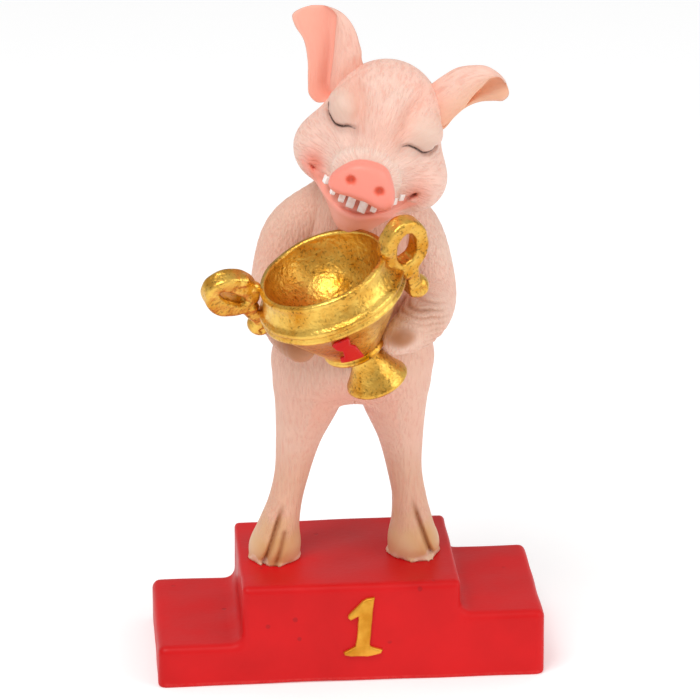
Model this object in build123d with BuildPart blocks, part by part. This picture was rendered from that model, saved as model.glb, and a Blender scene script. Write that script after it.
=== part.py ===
"""A resin pig on a winner's podium, hugging a gilt cup: cast pieces, pinned and glued together.

Millimetres, +Z up, origin at the centre of the podium's underside. The pig faces -Y, so its own left
side is on +X. Each piece of the figure takes its place from the podium's top, the hips and the neck.
"""

import os
from math import cos, pi, radians, sin, sqrt, tan

from build123d import *

# Podium: one stepped block, the lower step on the pig's right
PODIUM_WIDTH = 92.0
PODIUM_DEPTH = 40.4
CENTRE_WIDTH = 51.6
CENTRE_HEIGHT = 25.0
LOW_STEP_HEIGHT = 10.3
HIGH_STEP_HEIGHT = 16.5
TREAD_EDGE_RADIUS = 1.0
OUTER_EDGE_RADIUS = 2.2
STEP_FOOT_RADIUS = 2.0
FACE_EDGE_RADIUS = 0.7

# Numerals: a slanted figure one with a flag and a slab foot, on the podium's face and on the cup
NUMERAL_HEIGHT = 15.0
NUMERAL_STEM = 3.4
NUMERAL_PROUD = 0.9
NUMERAL_SEAT = 0.6
NUMERAL_OFFSET = 2.6
NUMERAL_RISE = 14.0
NUMERAL_SLANT = 7.0
NUMERAL_SERIF = 0.5
NUMERAL_FOOT = 1.3
NUMERAL_FLAG = 1.2
NUMERAL_FLAG_DROP = 1.1
NUMERAL_FLAG_TIP = 1.6
CUP_NUMERAL_HEIGHT = 7.8
CUP_NUMERAL_STEM = 2.8
CUP_NUMERAL_PROUD = 0.5
CUP_NUMERAL_SLANT = -3.0
CUP_NUMERAL_TURN = -1.5
CUP_NUMERAL_DROP = 13.8

# Stance and legs
LEAN = 2.05
STANCE = 33.8
LEG_LENGTH = 42.6
HIP_SPACING = 19.6
HOOF_WIDTH = 12.6
HOOF_LENGTH = 13.2
HOOF_HEIGHT = 3.2
HOOF_FORWARD = 1.0
SOLE_INSET = 1.0
TOE_CLEFT = 1.5
CLEFT_DEPTH = 2.0
CLEFT_HEIGHT = 11.0
ANKLE_WIDTH = 8.2
ANKLE_DEPTH = 9.2
ANKLE_HEIGHT = 16.5
KNEE_WIDTH = 11.2
KNEE_DEPTH = 12.2
KNEE_HEIGHT = 29.0
THIGH_WIDTH = 17.2
THIGH_DEPTH = 21.4

# Torso, from the hip joint up to the neck plug
SEAT_WIDTH = 37.4
SEAT_DEPTH = 22.4
HIP_WIDTH = 38.6
HIP_DEPTH = 27.6
HIP_RISE = 6.0
BELLY_WIDTH = 37.0
BELLY_DEPTH = 28.0
BELLY_RISE = 14.4
BELLY_SETBACK = 0.5
CHEST_WIDTH = 30.0
CHEST_DEPTH = 21.0
CHEST_RISE = 31.4
CHEST_SETBACK = 2.4
SHOULDER_WIDTH = 25.0
SHOULDER_DEPTH = 20.0
SHOULDER_RISE = 42.4
NECK_WIDTH = 17.0
NECK_DEPTH = 15.0
NECK_RISE = 54.4
NECK_SETBACK = 1.5

# Head, in a frame that looks out of the face: x to the pig's left, y up, z forward
HEAD_ROLL = 19.0
HEAD_TURN = 10.0
HEAD_RISE = 7.0
HEAD_SIDE = 2.5
HEAD_FORWARD = 4.5
SKULL_REACH = 16.0
NAPE_WIDTH = 22.0
NAPE_HEIGHT = 23.0
NAPE_RISE = 3.4
CROWN_WIDTH = 29.6
CROWN_HEIGHT = 31.6
CROWN_FORWARD = -5.0
CROWN_RISE = 2.0
CHEEK_WIDTH = 37.2
CHEEK_HEIGHT = 34.4
CHEEK_FORWARD = 5.0
CHEEK_RISE = -0.8
TEMPLE_TAPER = 0.3
CHIN_TAPER = 0.2
JAW_WIDTH = 28.0
JAW_HEIGHT = 30.0
JAW_FORWARD = 12.0
JAW_RISE = -3.9
LIP_WIDTH = 19.0
LIP_HEIGHT = 22.0
LIP_FORWARD = 16.5
LIP_RISE = -5.4
MUZZLE_WIDTH = 15.0
MUZZLE_HEIGHT = 15.0
MUZZLE_FORWARD = 20.0
MUZZLE_RISE = -4.6
LID_SPACING = 16.6
LID_RISE = 8.4
LID_FORWARD = 4.4
LID_WIDTH = 11.6
LID_HEIGHT = 11.0
EYE_SLIT = 1.0
EYE_SLIT_RISE = 4.8
EYE_SLIT_LIFT = 2.6
EYE_SLIT_REACH = 0.8
EYE_SLIT_FLOOR = 7.0
SNOUT_WIDTH = 16.2
SNOUT_HEIGHT = 11.8
SNOUT_FORWARD = 25.6
SNOUT_RISE = -3.0
SNOUT_EDGE = 1.4
NOSTRIL_SPACING = 7.0
NOSTRIL_RADIUS = 1.2
NOSTRIL_DEPTH = 1.8
MOUTH_WIDTH = 23.6
MOUTH_RISE = -5.6
MOUTH_DIP = 8.6
MOUTH_OPENING = 5.4
MOUTH_FLOOR = 6.0
TOOTH_COUNT = 9
TOOTH_GAP = 0.5
TOOTH_GROOVE = 0.8
TOOTH_REACH = 17.2
TOOTH_LENGTH = 3.8

# Ears: cupped leaves with the upper edge rolled forward, their roots let into the skull
EAR_LENGTH = {"right": 16.4, "left": 14.6}
EAR_WIDTH = 13.6
EAR_TIP_WIDTH = 9.0
EAR_THICKNESS = 2.2
EAR_EDGE = 0.8
EAR_CUP = 2.6
EAR_FOLD_SHARE = 0.4
EAR_FOLD_RISE = 2.4
EAR_ROOT = 3.0
EAR_ROOT_SHARE = 0.8
EAR_OUTLINE = ((0.3, 1.0), (0.7, 0.94))
EAR_TIP_START = 0.92
EAR_SPREAD = {"right": 13.6, "left": 11.8}
EAR_RISE = {"right": 10.4, "left": 13.0}
EAR_SETBACK = 6.0
EAR_SPLAY = {"right": 29.0, "left": 44.0}
EAR_ROLL = {"right": 0.0, "left": 42.0}
EAR_DROOP = {"right": 2.0, "left": 2.5}

# Arms, round the cup from behind
ARM_RISE = 45.4
ARM_ROOT_SPREAD = 13.0
ARM_SETBACK = 3.0
UPPER_ARM_SPREAD = {"right": 31.6, "left": 26.4}
UPPER_ARM_DROP = 9.0
ELBOW_SPREAD = {"right": 39.6, "left": 34.4}
ELBOW_DROP = 21.6
ELBOW_FORWARD = 3.0
WRIST_SPREAD = 29.0
WRIST_DROP = 24.8
HAND_SPREAD = {"right": 24.0, "left": 32.0}
HAND_DROP = 25.6
GRIP_DROP = 15.0
GRIP_CLEARANCE = 0.05
ARM_GIRTHS = (
    (0.0, 12.0),
    (0.2, 14.4),
    (0.4, 12.8),
    (0.6, 11.6),
    (0.8, 10.2),
    (0.93, 8.0),
    (0.985, 5.4),
    (1.0, 2.4),
)

# Cup: its axis leans to the pig's right and tips outwards
CUP_LEAN = 20.3
CUP_TIP = 11.0
CUP_SIDE = 7.3
CUP_RISE = 0.8
CUP_GAP = 0.3
RIM_RADIUS = 15.2
RIM_LIP = 0.9
CAVITY_RADIUS = 14.1
BOWL_DEPTH = 12.6
BAND_RADIUS = 17.4
BAND_DROP = 8.4
BAND_HEIGHT = 2.6
BODY_DEPTH = 22.0
BODY_SWELL = 1.0
COLLAR_RADIUS = 6.8
COLLAR_HEIGHT = 1.4
STEM_RADIUS = 3.4
FOOT_RADIUS = 7.2
FOOT_HEIGHT = 10.2
FOOT_EDGE = 1.2
FOOT_SHIFT = 2.0
FOOT_WAIST = 0.3
TENON_RADIUS = 1.8
TENON_LENGTH = 4.0
HANDLE_DEPTH = 4.4
HANDLE_REACH = {"right": 21.6, "left": 19.0}
HANDLE_SPLAY = {"right": 45.0, "left": 19.0}
RING_WIDTH = 10.6
RING_HEIGHT = 14.0
RING_BAND = 2.9
RING_DROP = {"right": -0.6, "left": 1.6}
HOOK_LENGTH = 6.4
HOOK_OFFSET = 1.3
HOOK_SLANT = 16.0
HOOK_BAND = 3.4
HOOK_RADIUS = 2.3
HOOK_CURL = (0.9, 0.6)

# Tail and the steel pins between the castings
TAIL_RISE = 7.0
TAIL_COIL_RADIUS = 3.2
TAIL_PITCH = 5.5
TAIL_LENGTH = 7.5
TAIL_GIRTH = 3.0
FOOT_PIN_RADIUS = 1.2
FOOT_PIN_LENGTH = 20.0
JOINT_PIN_RADIUS = 1.0
JOINT_PIN_LENGTH = 10.0
NECK_PIN_RADIUS = 1.6
NECK_PIN_LENGTH = 18.0
PIN_CLEARANCE = 0.05

SIDES = {"right": -1, "left": 1}
SECTION_POINTS = 12
os.makedirs("parts", exist_ok=True)


def save(part, name):
    part.label = name
    export_step(part, f"parts/{name}.step")


def figure_point(x, y, height):
    """A point of the leaning figure: x and y from its axis, height above the podium's top."""
    return Vector(x + height * tan(radians(LEAN)), y, CENTRE_HEIGHT + height)


def oval(plane, width, depth):
    """One elliptical section of a limb or of the body."""
    with BuildSketch(plane) as section:
        Ellipse(width / 2, depth / 2)
    return section.sketch.face()


def egg(plane, width, height, rise, temple, chin):
    """One section of the head, drawn in above the middle by the temple and below it by the chin."""
    points = []
    for step in range(SECTION_POINTS):
        angle = 2 * pi * step / SECTION_POINTS
        taper = temple * max(sin(angle), 0) + chin * max(-sin(angle), 0)
        points.append((width / 2 * cos(angle) * (1 - taper), rise + height / 2 * sin(angle)))
    with BuildSketch(plane) as section:
        with BuildLine():
            Spline(*points, periodic=True)
        make_face()
    return section.sketch.face()


def figure_one(plane, height, stem, slant):
    """A plain numeral, centred on a plane."""
    top, half = height / 2, stem / 2
    serif = stem * NUMERAL_SERIF - top
    foot, flag = stem * NUMERAL_FOOT, stem * NUMERAL_FLAG
    flag_top = top - stem * NUMERAL_FLAG_DROP
    outline = [
        (half, top),
        (half, serif),
        (foot, serif),
        (foot, -top),
        (-foot, -top),
        (-foot, serif),
        (-half, serif),
        (-half, flag_top),
        (-flag, top - stem * NUMERAL_FLAG_TIP),
        (-flag, flag_top),
    ]
    with BuildSketch(plane) as numeral:
        with BuildLine():
            Polyline(*[(x + y * tan(radians(slant)), y) for x, y in outline], close=True)
        make_face()
    return numeral.sketch.face()


def pin_bore(start, end, radius):
    """A blind bore for a pin that runs between two points."""
    with Locations(Plane(origin=start, z_dir=end - start)):
        Cylinder(
            radius + PIN_CLEARANCE,
            (end - start).length,
            align=(Align.CENTER, Align.CENTER, Align.MIN),
            mode=Mode.SUBTRACT,
        )


def leg_point(side, height):
    """A point on a leg's centre line, which runs straight from hoof to hip."""
    share = (height - HOOF_HEIGHT) / (LEG_LENGTH - HOOF_HEIGHT)
    return figure_point(side * (STANCE + (HIP_SPACING - STANCE) * share) / 2, 0, height)


def shoulder_pin_ends(side):
    height = LEG_LENGTH + ARM_RISE - UPPER_ARM_DROP
    middle = figure_point(side * SHOULDER_WIDTH / 2, CHEST_SETBACK, height)
    reach = Vector(JOINT_PIN_LENGTH / 2, 0, 0)
    return middle - reach, middle + reach


def foot_pin_ends(side):
    middle = leg_point(side, 0)
    reach = Vector(0, 0, FOOT_PIN_LENGTH / 2)
    return middle - reach, middle + reach


def hip_pin_ends(side):
    middle = leg_point(side, LEG_LENGTH)
    reach = Vector(0, 0, JOINT_PIN_LENGTH / 2)
    return middle - reach, middle + reach


# Podium: cast in one, with blind holes for the foot pins and a shallow seat for the numeral
NUMERAL_PLANE = Plane(
    (NUMERAL_OFFSET, -PODIUM_DEPTH / 2, NUMERAL_RISE),
    x_dir=(1, 0, 0),
    z_dir=(0, -1, 0),
)
PODIUM_FIGURE = figure_one(NUMERAL_PLANE, NUMERAL_HEIGHT, NUMERAL_STEM, NUMERAL_SLANT)
with BuildPart() as podium:
    with BuildSketch(Plane.XZ):
        with BuildLine():
            Polyline(
                (-PODIUM_WIDTH / 2, 0),
                (PODIUM_WIDTH / 2, 0),
                (PODIUM_WIDTH / 2, HIGH_STEP_HEIGHT),
                (CENTRE_WIDTH / 2, HIGH_STEP_HEIGHT),
                (CENTRE_WIDTH / 2, CENTRE_HEIGHT),
                (-CENTRE_WIDTH / 2, CENTRE_HEIGHT),
                (-CENTRE_WIDTH / 2, LOW_STEP_HEIGHT),
                (-PODIUM_WIDTH / 2, LOW_STEP_HEIGHT),
                close=True,
            )
        make_face()
    extrude(amount=PODIUM_DEPTH / 2, both=True)
    lines = podium.edges().filter_by(Axis.Y).group_by(Axis.X)
    fillet([pair.sort_by(Axis.Z)[0] for pair in lines[1:-1]], STEP_FOOT_RADIUS)
    lines = podium.edges().filter_by(Axis.Y).group_by(Axis.X)
    fillet([lines[0].sort_by(Axis.Z)[-1], lines[-1].sort_by(Axis.Z)[-1]], OUTER_EDGE_RADIUS)
    fillet(podium.edges().filter_by(Axis.Y).group_by(Axis.Z)[-1], TREAD_EDGE_RADIUS)
    fillet(podium.faces().filter_by(Axis.Y).edges(), FACE_EDGE_RADIUS)
    extrude(PODIUM_FIGURE, amount=-NUMERAL_SEAT, mode=Mode.SUBTRACT)
    for side in SIDES.values():
        pin_bore(*foot_pin_ends(side), FOOT_PIN_RADIUS)
save(podium.part, "podium")

with BuildPart() as podium_numeral:
    extrude(PODIUM_FIGURE, amount=NUMERAL_PROUD)
    extrude(PODIUM_FIGURE, amount=-NUMERAL_SEAT)
save(podium_numeral.part, "podium_numeral")

# Legs: each stands on its pin and butts flat against the underside of the torso
for name, side in SIDES.items():
    stations = [
        (0, HOOF_FORWARD, HOOF_WIDTH - SOLE_INSET, HOOF_LENGTH - SOLE_INSET),
        (HOOF_HEIGHT, HOOF_FORWARD, HOOF_WIDTH, HOOF_LENGTH),
        (
            (HOOF_HEIGHT + ANKLE_HEIGHT) / 2,
            HOOF_FORWARD / 2,
            (HOOF_WIDTH + ANKLE_WIDTH) / 2,
            (HOOF_LENGTH + ANKLE_DEPTH) / 2,
        ),
        (ANKLE_HEIGHT, 0, ANKLE_WIDTH, ANKLE_DEPTH),
        (KNEE_HEIGHT, 0, KNEE_WIDTH, KNEE_DEPTH),
        (LEG_LENGTH, 0, THIGH_WIDTH, THIGH_DEPTH),
    ]
    with BuildPart() as leg:
        loft(
            [
                oval(Plane(leg_point(side, height) - Vector(0, forward, 0)), width, depth)
                for height, forward, width, depth in stations
            ]
        )
        toe = leg_point(side, 0) - Vector(0, HOOF_FORWARD + HOOF_LENGTH / 2, 0)
        with BuildSketch(Plane(toe, x_dir=(1, 0, 0), z_dir=(0, -1, 0))):
            with BuildLine():
                Polyline((-TOE_CLEFT / 2, 0), (TOE_CLEFT / 2, 0), (0, CLEFT_HEIGHT), close=True)
            make_face()
        extrude(amount=CLEFT_DEPTH, both=True, mode=Mode.SUBTRACT)
        pin_bore(*foot_pin_ends(side), FOOT_PIN_RADIUS)
        pin_bore(*hip_pin_ends(side), JOINT_PIN_RADIUS)
    save(leg.part, f"{name}_leg")

# The head's frame, and the pin that holds it on the neck
HEAD_FACING = Vector(-sin(radians(HEAD_TURN)), -cos(radians(HEAD_TURN)), 0)
HEAD = Plane(
    figure_point(HEAD_SIDE, NECK_SETBACK - HEAD_FORWARD, LEG_LENGTH + NECK_RISE + HEAD_RISE),
    x_dir=(cos(radians(HEAD_ROLL)), 0, -sin(radians(HEAD_ROLL))),
    z_dir=HEAD_FACING,
)
NECK_TOP = figure_point(0, NECK_SETBACK, LEG_LENGTH + NECK_RISE)
NECK_PIN = NECK_TOP - Vector(0, 0, NECK_PIN_LENGTH / 2), NECK_TOP + Vector(0, 0, NECK_PIN_LENGTH / 2)

# Torso: belly, chest and the neck plug that carries the head
TORSO_STATIONS = [
    (0, BELLY_SETBACK, SEAT_WIDTH, SEAT_DEPTH),
    (HIP_RISE, BELLY_SETBACK, HIP_WIDTH, HIP_DEPTH),
    (BELLY_RISE, BELLY_SETBACK, BELLY_WIDTH, BELLY_DEPTH),
    (CHEST_RISE, CHEST_SETBACK, CHEST_WIDTH, CHEST_DEPTH),
    (SHOULDER_RISE, CHEST_SETBACK, SHOULDER_WIDTH, SHOULDER_DEPTH),
    (NECK_RISE, NECK_SETBACK, NECK_WIDTH, NECK_DEPTH),
]
with BuildPart() as torso:
    loft(
        [
            oval(Plane(figure_point(0, setback, LEG_LENGTH + rise)), width, depth)
            for rise, setback, width, depth in TORSO_STATIONS
        ]
    )
    for side in SIDES.values():
        pin_bore(*hip_pin_ends(side), JOINT_PIN_RADIUS)
        pin_bore(*shoulder_pin_ends(side), JOINT_PIN_RADIUS)
    pin_bore(*NECK_PIN, NECK_PIN_RADIUS)
save(torso.part, "torso")

# Cup: a turned bowl with a moulded band; the envelope is its outside without the hollow
CUP_AXIS = Vector(-tan(radians(CUP_LEAN)), -tan(radians(CUP_TIP)), 1).normalized()
CUP_BACK = BAND_RADIUS * sqrt(1 - CUP_AXIS.Y**2)
BAND_CENTRE = figure_point(
    -CUP_SIDE,
    CHEST_SETBACK - CHEST_DEPTH / 2 - CUP_GAP - CUP_BACK,
    LEG_LENGTH + CHEST_RISE + CUP_RISE,
)
RIM_CENTRE = BAND_CENTRE + CUP_AXIS * BAND_DROP
CUP_SPIN = Axis(RIM_CENTRE, CUP_AXIS)
CUP_ACROSS = (Vector(1, 0, 0) - CUP_AXIS * CUP_AXIS.X).normalized()
CUP_PROFILE = Plane(RIM_CENTRE, x_dir=CUP_ACROSS, z_dir=CUP_ACROSS.cross(CUP_AXIS))
FOOT_PROFILE = Plane(RIM_CENTRE + CUP_ACROSS * FOOT_SHIFT, x_dir=CUP_ACROSS, z_dir=CUP_PROFILE.z_dir)
FOOT_SPIN = Axis(FOOT_PROFILE.origin, CUP_AXIS)
BAND_TOP = BAND_HEIGHT / 2 - BAND_DROP
BAND_FOOT = -BAND_HEIGHT / 2 - BAND_DROP
FOOT_TOP = -BODY_DEPTH - COLLAR_HEIGHT


def cup_outside(proud):
    """The outside of the cup as a solid of revolution, proud of the cast surface by a skin."""
    band = BAND_RADIUS + proud
    middle = ((band + COLLAR_RADIUS) / 2 + BODY_SWELL, (BAND_FOOT - BODY_DEPTH) / 2)
    with BuildPart() as outside:
        with BuildSketch(CUP_PROFILE):
            with BuildLine():
                Line((0, 0), (RIM_RADIUS + proud - RIM_LIP, 0))
                ThreePointArc(
                    (RIM_RADIUS + proud - RIM_LIP, 0),
                    (RIM_RADIUS + proud, -RIM_LIP),
                    (RIM_RADIUS + proud - RIM_LIP / 2, -2 * RIM_LIP),
                )
                Line((RIM_RADIUS + proud - RIM_LIP / 2, -2 * RIM_LIP), (band - RIM_LIP, BAND_TOP))
                ThreePointArc((band - RIM_LIP, BAND_TOP), (band, -BAND_DROP), (band - RIM_LIP, BAND_FOOT))
                ThreePointArc((band - RIM_LIP, BAND_FOOT), middle, (COLLAR_RADIUS, -BODY_DEPTH))
                Line((COLLAR_RADIUS, -BODY_DEPTH), (COLLAR_RADIUS, FOOT_TOP))
                Line((COLLAR_RADIUS, FOOT_TOP), (0, FOOT_TOP))
                Line((0, FOOT_TOP), (0, 0))
            make_face()
        revolve(axis=CUP_SPIN)
    return outside.part


with BuildPart() as trophy_bowl:
    add(cup_outside(0))
    cavity = (CAVITY_RADIUS**2 + BOWL_DEPTH**2) / (2 * BOWL_DEPTH)
    with Locations(RIM_CENTRE + CUP_AXIS * (cavity - BOWL_DEPTH)):
        Sphere(cavity, mode=Mode.SUBTRACT)
    tenon = FOOT_PROFILE.origin + CUP_AXIS * FOOT_TOP
    pin_bore(tenon, tenon + CUP_AXIS * TENON_LENGTH, TENON_RADIUS)
save(trophy_bowl.part, "trophy_bowl")

with BuildPart() as trophy_foot:
    base = FOOT_TOP - FOOT_HEIGHT
    with BuildSketch(FOOT_PROFILE):
        with BuildLine():
            Polyline(
                (STEM_RADIUS, FOOT_TOP),
                (TENON_RADIUS, FOOT_TOP),
                (TENON_RADIUS, FOOT_TOP + TENON_LENGTH),
                (0, FOOT_TOP + TENON_LENGTH),
                (0, base),
                (FOOT_RADIUS, base),
                (FOOT_RADIUS, base + FOOT_EDGE),
            )
            ThreePointArc(
                (FOOT_RADIUS, base + FOOT_EDGE),
                (STEM_RADIUS + (FOOT_RADIUS - STEM_RADIUS) * FOOT_WAIST, (FOOT_TOP + base) / 2),
                (STEM_RADIUS, FOOT_TOP),
            )
        make_face()
    revolve(axis=FOOT_SPIN)
save(trophy_foot.part, "trophy_foot")

# Handles: flat scrolls, a ring above and a hook with a round end below, glued to collar and band
for name, side in SIDES.items():
    plane = Plane(RIM_CENTRE, x_dir=CUP_ACROSS * side, z_dir=CUP_ACROSS.cross(CUP_AXIS) * side)
    centre = plane.origin + plane.x_dir * HANDLE_REACH[name] - plane.y_dir * RING_DROP[name]
    splay = radians(HANDLE_SPLAY[name])
    scroll = Plane(centre, x_dir=plane.x_dir * cos(splay) - plane.y_dir * sin(splay), z_dir=plane.z_dir)
    slant = radians(HOOK_SLANT)
    hook_top = Vector(HOOK_OFFSET, (HOOK_BAND - RING_HEIGHT) / 2)
    hook_foot = hook_top + Vector(sin(slant), -cos(slant)) * HOOK_LENGTH
    curl = hook_foot + Vector(*HOOK_CURL) * HOOK_RADIUS
    with BuildPart() as handle:
        with BuildSketch(scroll):
            Ellipse(RING_WIDTH / 2, RING_HEIGHT / 2)
            SlotCenterPoint((hook_top + hook_foot) / 2, hook_foot, HOOK_BAND)
            with Locations(curl):
                Circle(HOOK_RADIUS)
            Ellipse(RING_WIDTH / 2 - RING_BAND, RING_HEIGHT / 2 - RING_BAND, mode=Mode.SUBTRACT)
        extrude(amount=HANDLE_DEPTH / 2, both=True)
        add(cup_outside(0), mode=Mode.SUBTRACT)
    save(handle.part, f"{name}_trophy_handle")

# Numeral on the cup: a low relief that follows the curve of the body
numeral_turn = radians(CUP_NUMERAL_TURN)
numeral_facing = CUP_ACROSS * sin(numeral_turn) + CUP_PROFILE.z_dir * cos(numeral_turn)
numeral_centre = RIM_CENTRE - CUP_AXIS * CUP_NUMERAL_DROP
with BuildPart() as trophy_numeral:
    outline = figure_one(
        Plane(numeral_centre, x_dir=CUP_AXIS.cross(numeral_facing), z_dir=numeral_facing),
        CUP_NUMERAL_HEIGHT,
        CUP_NUMERAL_STEM,
        CUP_NUMERAL_SLANT,
    )
    extrude(outline, amount=BAND_RADIUS)
    add(cup_outside(CUP_NUMERAL_PROUD), mode=Mode.INTERSECT)
    add(cup_outside(0), mode=Mode.SUBTRACT)
save(trophy_numeral.part, "trophy_numeral")


def leaf(plane, width, side):
    """One section of an ear: its hollow faces the plane's y and its upper edge rolls over the hollow."""
    half = side * width / 2
    cup = EAR_CUP * width / EAR_WIDTH
    edge = side * EAR_EDGE
    fold = half - side * width * EAR_FOLD_SHARE
    rise = EAR_FOLD_RISE * width / EAR_WIDTH
    with BuildSketch(plane) as section:
        with BuildLine():
            Spline((-half, 0), (0, -cup - EAR_THICKNESS), (half, 0), (fold, rise))
            Line((fold, rise), (fold, rise - EAR_EDGE))
            Spline((fold, rise - EAR_EDGE), (half - 2 * edge, 0), (0, -cup), (edge - half, 0))
            Line((edge - half, 0), (-half, 0))
        make_face()
    return section.sketch.face()


# Ears: leaves with a cupped inner side
EARS = {}
for name, side in SIDES.items():
    length = EAR_LENGTH[name]
    splay, roll = radians(EAR_SPLAY[name]), radians(EAR_ROLL[name])
    spine = HEAD.x_dir * side * sin(splay) + HEAD.y_dir * cos(splay)
    down = HEAD.x_dir * side * cos(splay) - HEAD.y_dir * sin(splay)
    hollow = HEAD.z_dir * cos(roll) + down * sin(roll)
    root = HEAD.from_local_coords(Vector(side * EAR_SPREAD[name], EAR_RISE[name], -EAR_SETBACK))
    stations = [
        (-EAR_ROOT, EAR_WIDTH * EAR_ROOT_SHARE),
        *[(length * share, EAR_WIDTH * width) for share, width in EAR_OUTLINE],
        (length * EAR_TIP_START, EAR_TIP_WIDTH),
        (length, EAR_TIP_WIDTH / 2),
    ]
    with BuildPart() as ear:
        loft(
            [
                leaf(
                    Plane(
                        root + spine * reach + down * EAR_DROOP[name] * (reach / length) ** 2,
                        x_dir=hollow.cross(spine),
                        z_dir=spine,
                    ),
                    width,
                    side,
                )
                for reach, width in stations
            ]
        )
    EARS[name] = ear.part
    save(ear.part, f"{name}_ear")

# Head: skull, cheeks and muzzle in one casting, with closed lids, a snout disc and a toothy grin
HEAD_STATIONS = [
    ((CROWN_FORWARD - SKULL_REACH) / 2, NAPE_WIDTH, NAPE_HEIGHT, NAPE_RISE, 0, 0),
    (CROWN_FORWARD, CROWN_WIDTH, CROWN_HEIGHT, CROWN_RISE, 0, 0),
    (CHEEK_FORWARD, CHEEK_WIDTH, CHEEK_HEIGHT, CHEEK_RISE, TEMPLE_TAPER, CHIN_TAPER),
    (JAW_FORWARD, JAW_WIDTH, JAW_HEIGHT, JAW_RISE, TEMPLE_TAPER, CHIN_TAPER),
    (LIP_FORWARD, LIP_WIDTH, LIP_HEIGHT, LIP_RISE, 0, CHIN_TAPER),
    (MUZZLE_FORWARD, MUZZLE_WIDTH, MUZZLE_HEIGHT, MUZZLE_RISE, 0, 0),
]


def grin(plane, opening):
    """A crescent between the corners of the mouth, its upper edge fixed and its lower edge let down."""
    left, right = (-MOUTH_WIDTH / 2, MOUTH_RISE), (MOUTH_WIDTH / 2, MOUTH_RISE)
    upper = MOUTH_RISE - MOUTH_DIP + MOUTH_OPENING
    with BuildSketch(plane) as crescent:
        with BuildLine():
            ThreePointArc(left, (0, upper), right)
            ThreePointArc(left, (0, upper - opening), right)
        make_face()
    return crescent.sketch.face()


def dental_arch(setback):
    """The elliptical footprint of the teeth, seen from above the head."""
    floor = HEAD.offset(MOUTH_FLOOR)
    plane = Plane(floor.origin + floor.y_dir * MOUTH_RISE, x_dir=floor.x_dir, z_dir=-floor.y_dir)
    reach = TOOTH_REACH - MOUTH_FLOOR
    return oval(plane, MOUTH_WIDTH - 2 * setback, 2 * (reach - setback))


with BuildPart() as teeth:
    extrude(grin(HEAD.offset(MOUTH_FLOOR), TOOTH_LENGTH), amount=TOOTH_REACH)
    pitch = MOUTH_WIDTH / TOOTH_COUNT
    with Locations(HEAD):
        with GridLocations(pitch, 1, TOOTH_COUNT - 1, 1):
            Box(TOOTH_GAP, CHEEK_HEIGHT, 2 * SNOUT_FORWARD, mode=Mode.SUBTRACT)
    extrude(dental_arch(0), amount=CHEEK_HEIGHT, both=True, mode=Mode.INTERSECT)

with BuildPart() as gums:
    extrude(grin(HEAD.offset(MOUTH_FLOOR), MOUTH_OPENING), amount=TOOTH_REACH)
    extrude(dental_arch(TOOTH_GROOVE), amount=CHEEK_HEIGHT, both=True, mode=Mode.INTERSECT)

with BuildPart() as head:
    nape = HEAD.offset(-SKULL_REACH)
    loft(
        [Vertex(*(nape.origin + nape.y_dir * NAPE_RISE))]
        + [egg(HEAD.offset(forward), *section) for forward, *section in HEAD_STATIONS]
    )
    for side in SIDES.values():
        lid = HEAD.offset(LID_FORWARD)
        with BuildSketch(lid):
            with Locations((side * LID_SPACING / 2, LID_RISE)):
                Ellipse(LID_WIDTH / 2, LID_HEIGHT / 2)
                Rectangle(LID_WIDTH, LID_HEIGHT, align=(Align.CENTER, Align.MAX), mode=Mode.SUBTRACT)
        revolve(axis=Axis(lid.origin + lid.y_dir * LID_RISE, lid.x_dir))
    for side in SIDES.values():
        inner = (side * (LID_SPACING - LID_WIDTH) / 2, EYE_SLIT_RISE)
        outer = (side * (LID_SPACING + LID_WIDTH * EYE_SLIT_REACH) / 2, EYE_SLIT_RISE + EYE_SLIT_LIFT)
        middle = side * LID_SPACING / 2
        with BuildSketch(HEAD.offset(EYE_SLIT_FLOOR)):
            with BuildLine():
                ThreePointArc(inner, (middle, EYE_SLIT_RISE), outer)
                ThreePointArc(inner, (middle, EYE_SLIT_RISE + EYE_SLIT), outer)
            make_face()
        extrude(amount=SNOUT_FORWARD, mode=Mode.SUBTRACT)
    extrude(grin(HEAD.offset(MOUTH_FLOOR), MOUTH_OPENING), amount=SNOUT_FORWARD, mode=Mode.SUBTRACT)
    add(gums.part)
    add(teeth.part)
    with BuildSketch(HEAD.offset(MOUTH_FLOOR)):
        with Locations((0, SNOUT_RISE)):
            Ellipse(SNOUT_WIDTH / 2, SNOUT_HEIGHT / 2)
    extrude(amount=SNOUT_FORWARD - MOUTH_FLOOR)
    front = head.faces().filter_by(HEAD).sort_by(Axis(HEAD.origin, HEAD.z_dir))[-1]
    fillet(front.edges(), SNOUT_EDGE)
    with Locations(HEAD.offset(SNOUT_FORWARD)):
        with Locations((-NOSTRIL_SPACING / 2, SNOUT_RISE), (NOSTRIL_SPACING / 2, SNOUT_RISE)):
            Hole(NOSTRIL_RADIUS, depth=NOSTRIL_DEPTH)
    for neighbour in (torso.part, trophy_bowl.part, *EARS.values()):
        add(neighbour, mode=Mode.SUBTRACT)
    pin_bore(*NECK_PIN, NECK_PIN_RADIUS)
save(head.part, "head")


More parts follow.
